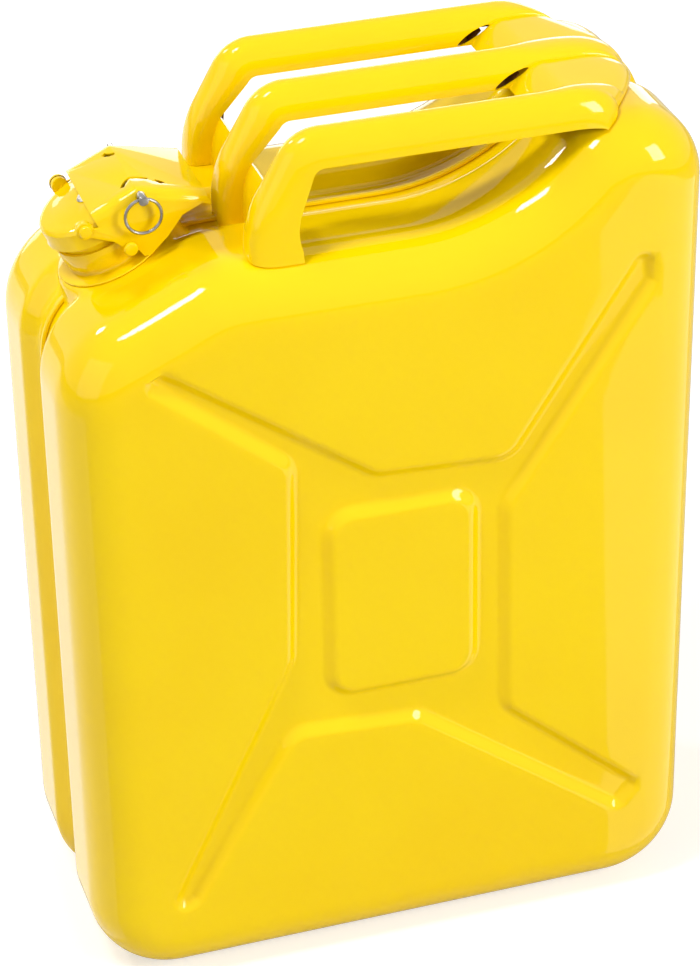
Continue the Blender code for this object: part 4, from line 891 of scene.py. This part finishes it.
# %% The grid of the whole pressing
def handle_grid():
    """Rows of places from the feet to the rear edge, and which rows carry a web."""
    legs = leg_rows()
    grid = [[handle_point(row, column) for column in columns] for row in legs]
    webbed = [row[4] for row in legs]
    for place in grid[0]:
        place.z = seat_height(place.x, place.y)
    start = grid[-1][0].x
    for number in range(1, BAR_STEPS):
        x = start + (SLOT_REAR_X - start) * number / BAR_STEPS
        row = (np.array((x, HANDLE_TOP)), np.array((0.0, -1.0)), BAR_DEPTH, BAR_DEPTH, False, 0.0)
        grid.append([handle_point(row, column) for column in columns])
        webbed.append(False)
    for share in shares:
        grid.append([rear_point(share, column) for column in columns])
        webbed.append(True)
    return grid, webbed


handle_rows, webbed_rows = handle_grid()
print("rows of the handle:", len(handle_rows), "and with a web:", sum(webbed_rows))

# %% The pressing
def make_handle():
    """Faces over the grid, the sheet's thickness, painted shade on the sheet's inner side, and the
    crescents.
    """
    builder = bmesh.new()
    verts = [[builder.verts.new(place) for place in row] for row in handle_rows]
    for number in range(len(verts) - 1):
        joined = webbed_rows[number] and webbed_rows[number + 1]
        for index in range(len(columns) - 1):
            if "web" in (columns[index][2], columns[index + 1][2]) and not joined:
                continue
            builder.faces.new((verts[number][index], verts[number + 1][index],
                               verts[number + 1][index + 1], verts[number][index + 1]))
    loose = [vert for vert in builder.verts if not vert.link_faces]
    bmesh.ops.delete(builder, geom=loose, context="VERTS")
    pressing = place_object("carrying_handle", finish_mesh(builder, "carrying_handle"))
    pressing.data.materials.append(fitting_enamel)
    # painted shade: the sheet's inner side, inside the channels and under the webs, gets the dark brown
    pressing.data.materials.append(painted_shade)
    wall = pressing.modifiers.new("sheet", "SOLIDIFY")
    wall.thickness = HANDLE_SHEET
    wall.offset = -1.0
    wall.use_even_offset = True
    wall.material_offset = 1
    apply_modifiers(pressing)
    cut(pressing, crescents())
    smooth_skin(pressing, 40.0)
    return pressing


handle = make_handle()
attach(handle, "can")
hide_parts("triple_bar_handle")
print("handle:", len(handle.data.polygons), "faces")

# %% [markdown]
# ## Fittings straight from the model
# The rivets, ears, lever and lid already have their true shape, but their edges are razor sharp.
# Real pressed steel never is, and a sharp edge catches no light. Each fitting is copied, its loose
# triangles are merged, flat areas are joined, and every edge gets a small rounding. Under the
# lever's roof and inside its cheeks the faces get the dark brown as a second material, which is
# painted shade.

# %% A copy with eased edges
def eased(node, width, material, body):
    """A piece of the model with its sharp edges rounded by a width."""
    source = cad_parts[node]
    builder = bmesh.new()
    builder.from_mesh(source.data)
    bmesh.ops.remove_doubles(builder, verts=builder.verts, dist=0.004 * MM)
    bmesh.ops.dissolve_limit(builder, angle_limit=math.radians(1.0), verts=builder.verts,
                             edges=builder.edges)
    item = place_object(node + "_eased", finish_mesh(builder, node + "_eased"))
    edge = item.modifiers.new("edge", "BEVEL")
    edge.width = width
    edge.segments = 2
    edge.limit_method = "ANGLE"
    edge.angle_limit = math.radians(28.0)
    apply_modifiers(item)
    item.data.materials.clear()
    item.data.materials.append(material)
    smooth_skin(item, 40.0)
    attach(item, body)
    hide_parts(node)
    print(item.name, len(item.data.polygons), "faces")
    return item


# %% The painted fittings
for node in ("spout_neck", "neck_collar", "near_trunnion", "far_trunnion",
             "hinge_pin", "hinge_pin_washer"):
    eased(node, 0.4 * MM, fitting_enamel, "can")
for node in ("lid", "near_pivot_rivet", "far_pivot_rivet"):
    eased(node, 0.4 * MM, fitting_enamel, "lid_body")

# %% The lever, with painted shade on its underside
CHEEK_INSIDE_Y, CLOSE_TO_CHEEK = 28.1 * MM, 0.3 * MM

lever = eased("cam_lever", 0.45 * MM, fitting_enamel, "lever_body")
# painted shade: faces under the roof and on the inner sides of the cheeks get the dark brown
lever.data.materials.append(painted_shade)
for face in lever.data.polygons:
    place, outward = to_neck @ face.center, to_neck.to_3x3() @ face.normal
    under_roof = outward.z < -0.3 and abs(place.y) < CHEEK_INSIDE_Y
    near_cheek = abs(abs(place.y) - CHEEK_INSIDE_Y) < CLOSE_TO_CHEEK
    face.material_index = int(under_roof or (near_cheek and outward.y * place.y < 0.0))
# how many of the lever's faces carry the painted shade
painted_shade_faces = sum(face.material_index for face in lever.data.polygons)
print("primer under the lever on", painted_shade_faces, "faces")

# %% The pin with its ring, and the pieces inside the lid and the neck
eased("lock_pin", 0.25 * MM, bright_steel, "lock_pin_body")
eased("lock_pin_ring", 0.0, bright_steel, "ring_body")
eased("lid_gasket", 0.3 * MM, fuel_rubber, "lid_body")
for node in ("gasket_retainer", "retainer_rivet"):
    eased(node, 0.25 * MM, plated_steel, "lid_body")
for node in ("breather_tube", "breather_clip"):
    eased(node, 0.2 * MM, plated_steel, "can")

# %% [markdown]
# ## Floor and mirror cards
# The can stands on a white floor that fills the view. Paint this glossy shows whatever stands
# round it, so the floor must look white both to the camera and in reflections, and yet keep the
# can's soft shadow. Light Path nodes tell those rays apart. Two pale cards lie on the floor, as
# in a studio, where only reflections see them: one draws the lighter band down the right of the
# near face, the other makes the narrow side on the left paler.

# %% Floor
FLOOR_DROP = 0.0002
SHADOW_ZONE, WHITE_FROM = 0.5, 2.5


def plain_material(name, grey):
    """A material of one grey, and its shader."""
    material = bpy.data.materials.new(name)
    material.use_nodes = True
    shader = material.node_tree.nodes["Principled BSDF"]
    shader.inputs["Base Color"].default_value = (grey, grey, grey, 1.0)
    return material, shader


def make_floor():
    """A large sheet that glows for the camera, least near the can, where the shadow falls."""
    builder = bmesh.new()
    bmesh.ops.create_grid(builder, x_segments=2, y_segments=2, size=6.0)
    floor = place_object("floor", finish_mesh(builder, "floor"))
    floor.location = (0.0, 0.0, -FLOOR_DROP)
    material, shader = plain_material("white_floor", 0.62)
    shader.inputs["Roughness"].default_value = 0.7
    tree = Wire(material.node_tree)
    direct = tree.node("ShaderNodeLightPath", output="Is Camera Ray")
    mirrored = tree.node("ShaderNodeLightPath", output="Is Glossy Ray")
    through = tree.node("ShaderNodeLightPath", output="Is Transmission Ray")
    place = tree.node("ShaderNodeTexCoord", output="Object")
    distance = place.node("ShaderNodeVectorMath", {"operation": "LENGTH"}, {0: place}, "Value")
    away = smooth_step(distance, SHADOW_ZONE, WHITE_FROM)
    blend(away, (0.6, 0.6, 0.6, 1.0), (1.0, 1.0, 1.0, 1.0)).into(shader.inputs["Emission Color"])
    ((direct + through) * 0.9 + mirrored * 0.05).into(shader.inputs["Emission Strength"])
    floor.data.materials.append(material)


make_floor()
print("the floor lies", FLOOR_DROP, "m under the can")

# %% Mirror cards
CARD_LIFT = 0.0001
CARD_ANGLE = math.radians(21.05)
BAND_X, BAND_GAP, BAND_LENGTH, BAND_WIDTH = 0.122, 0.02, 2.2, 1.2
SIDE_X, SIDE_FRONT, SIDE_BACK = -0.172, -0.08, 2.0


def make_card(name, corners, glow):
    """A pale sheet lying on the floor, seen only in reflections."""
    mesh = bpy.data.meshes.new(name)
    mesh.from_pydata([(x, y, CARD_LIFT) for x, y in corners], [], [tuple(range(len(corners)))])
    card = place_object(name, mesh)
    card.visible_camera = False
    card.visible_diffuse = False
    card.visible_shadow = False
    material, shader = plain_material(name + "_white", 0.5)
    shader.inputs["Emission Color"].default_value = (1.0, 1.0, 1.0, 1.0)
    shader.inputs["Emission Strength"].default_value = glow
    mesh.materials.append(material)


forward = Vector((math.sin(CARD_ANGLE), -math.cos(CARD_ANGLE)))
sideways = Vector((math.cos(CARD_ANGLE), math.sin(CARD_ANGLE)))
band_start = Vector((BAND_X, -HALF_DEPTH)) + forward * BAND_GAP
band_end = band_start + forward * BAND_LENGTH
make_card("card", [band_start, band_end, band_end + sideways * BAND_WIDTH,
                   band_start + sideways * BAND_WIDTH], 1.25)
side_start, side_end = Vector((SIDE_X, SIDE_FRONT)), Vector((SIDE_X, SIDE_BACK))
make_card("side_card", [side_start, side_start - sideways * 0.8,
                        side_end - Vector((1.4, 0.0)), side_end], 0.8)
print("the lighter band starts", BAND_X, "m from the middle")

# %% [markdown]
# ## World and lamps
# Highlights place the lamps: a streak on a rounded edge shows from where its lamp shines. A small
# lamp high on the left draws the thin streak along the shoulder, and another behind the can draws
# the one on the hump. A wide lamp to the right of the camera fills the broad face, a large weak
# one on the left lights the narrow side, and one behind keeps the rear edge from going dark. The
# world is white where the camera or a reflection sees it, and dim and warm as a light.

# %% World
world = bpy.data.worlds.new("studio")
bpy.context.scene.world = world
world.use_nodes = True
world.node_tree.nodes.clear()
sky = Wire(world.node_tree)
direct = sky.node("ShaderNodeLightPath", output="Is Camera Ray")
mirrored = sky.node("ShaderNodeLightPath", output="Is Glossy Ray")
through = sky.node("ShaderNodeLightPath", output="Is Transmission Ray")
seen = sky.maths("MAXIMUM", sky.maths("MAXIMUM", direct, mirrored), through)
tint = blend(seen, (1.0, 0.86, 0.7, 1.0), (1.0, 1.0, 1.0, 1.0))
light = sky.node("ShaderNodeBackground", None, {"Color": tint, "Strength": seen * 0.78 + 0.22})
light.into(sky.tree.nodes.new("ShaderNodeOutputWorld").inputs["Surface"])
print("world:", world.name)

# %% Lamps
LAMPS = [
    # name, place, height aimed at, width, height, watts
    ("streak_lamp", (-0.68, -0.326, 1.825), 0.4, 0.24, 0.38, 12.5),
    ("back_lamp", (-1.12, 0.98, 1.66), 0.4, 0.26, 0.26, 9.0),
    ("front_lamp", (1.65, -1.95, 1.55), 0.25, 0.8, 1.2, 52.0),
    ("side_lamp", (-2.1, -0.9, 0.9), 0.25, 1.8, 1.6, 11.5),
    ("rear_lamp", (0.3, 2.6, 0.55), 0.25, 3.0, 0.8, 22.0),
]


def add_lamp(name, place, aim_height, width, height, power):
    """A soft box that looks at a point on the can's middle line."""
    data = bpy.data.lights.new(name, "AREA")
    data.shape = "RECTANGLE"
    data.size = width
    data.size_y = height
    data.energy = power
    lamp = place_object(name, data)
    lamp.location = place
    towards = Vector((0.0, 0.0, aim_height)) - Vector(place)
    lamp.rotation_euler = towards.to_track_quat("-Z", "Y").to_euler()


for settings in LAMPS:
    add_lamp(*settings)
bpy.context.scene.view_settings.view_transform = "Standard"
print("lamps:", [settings[0] for settings in LAMPS])

# %% Update the view layer and finish
bpy.context.view_layer.update()
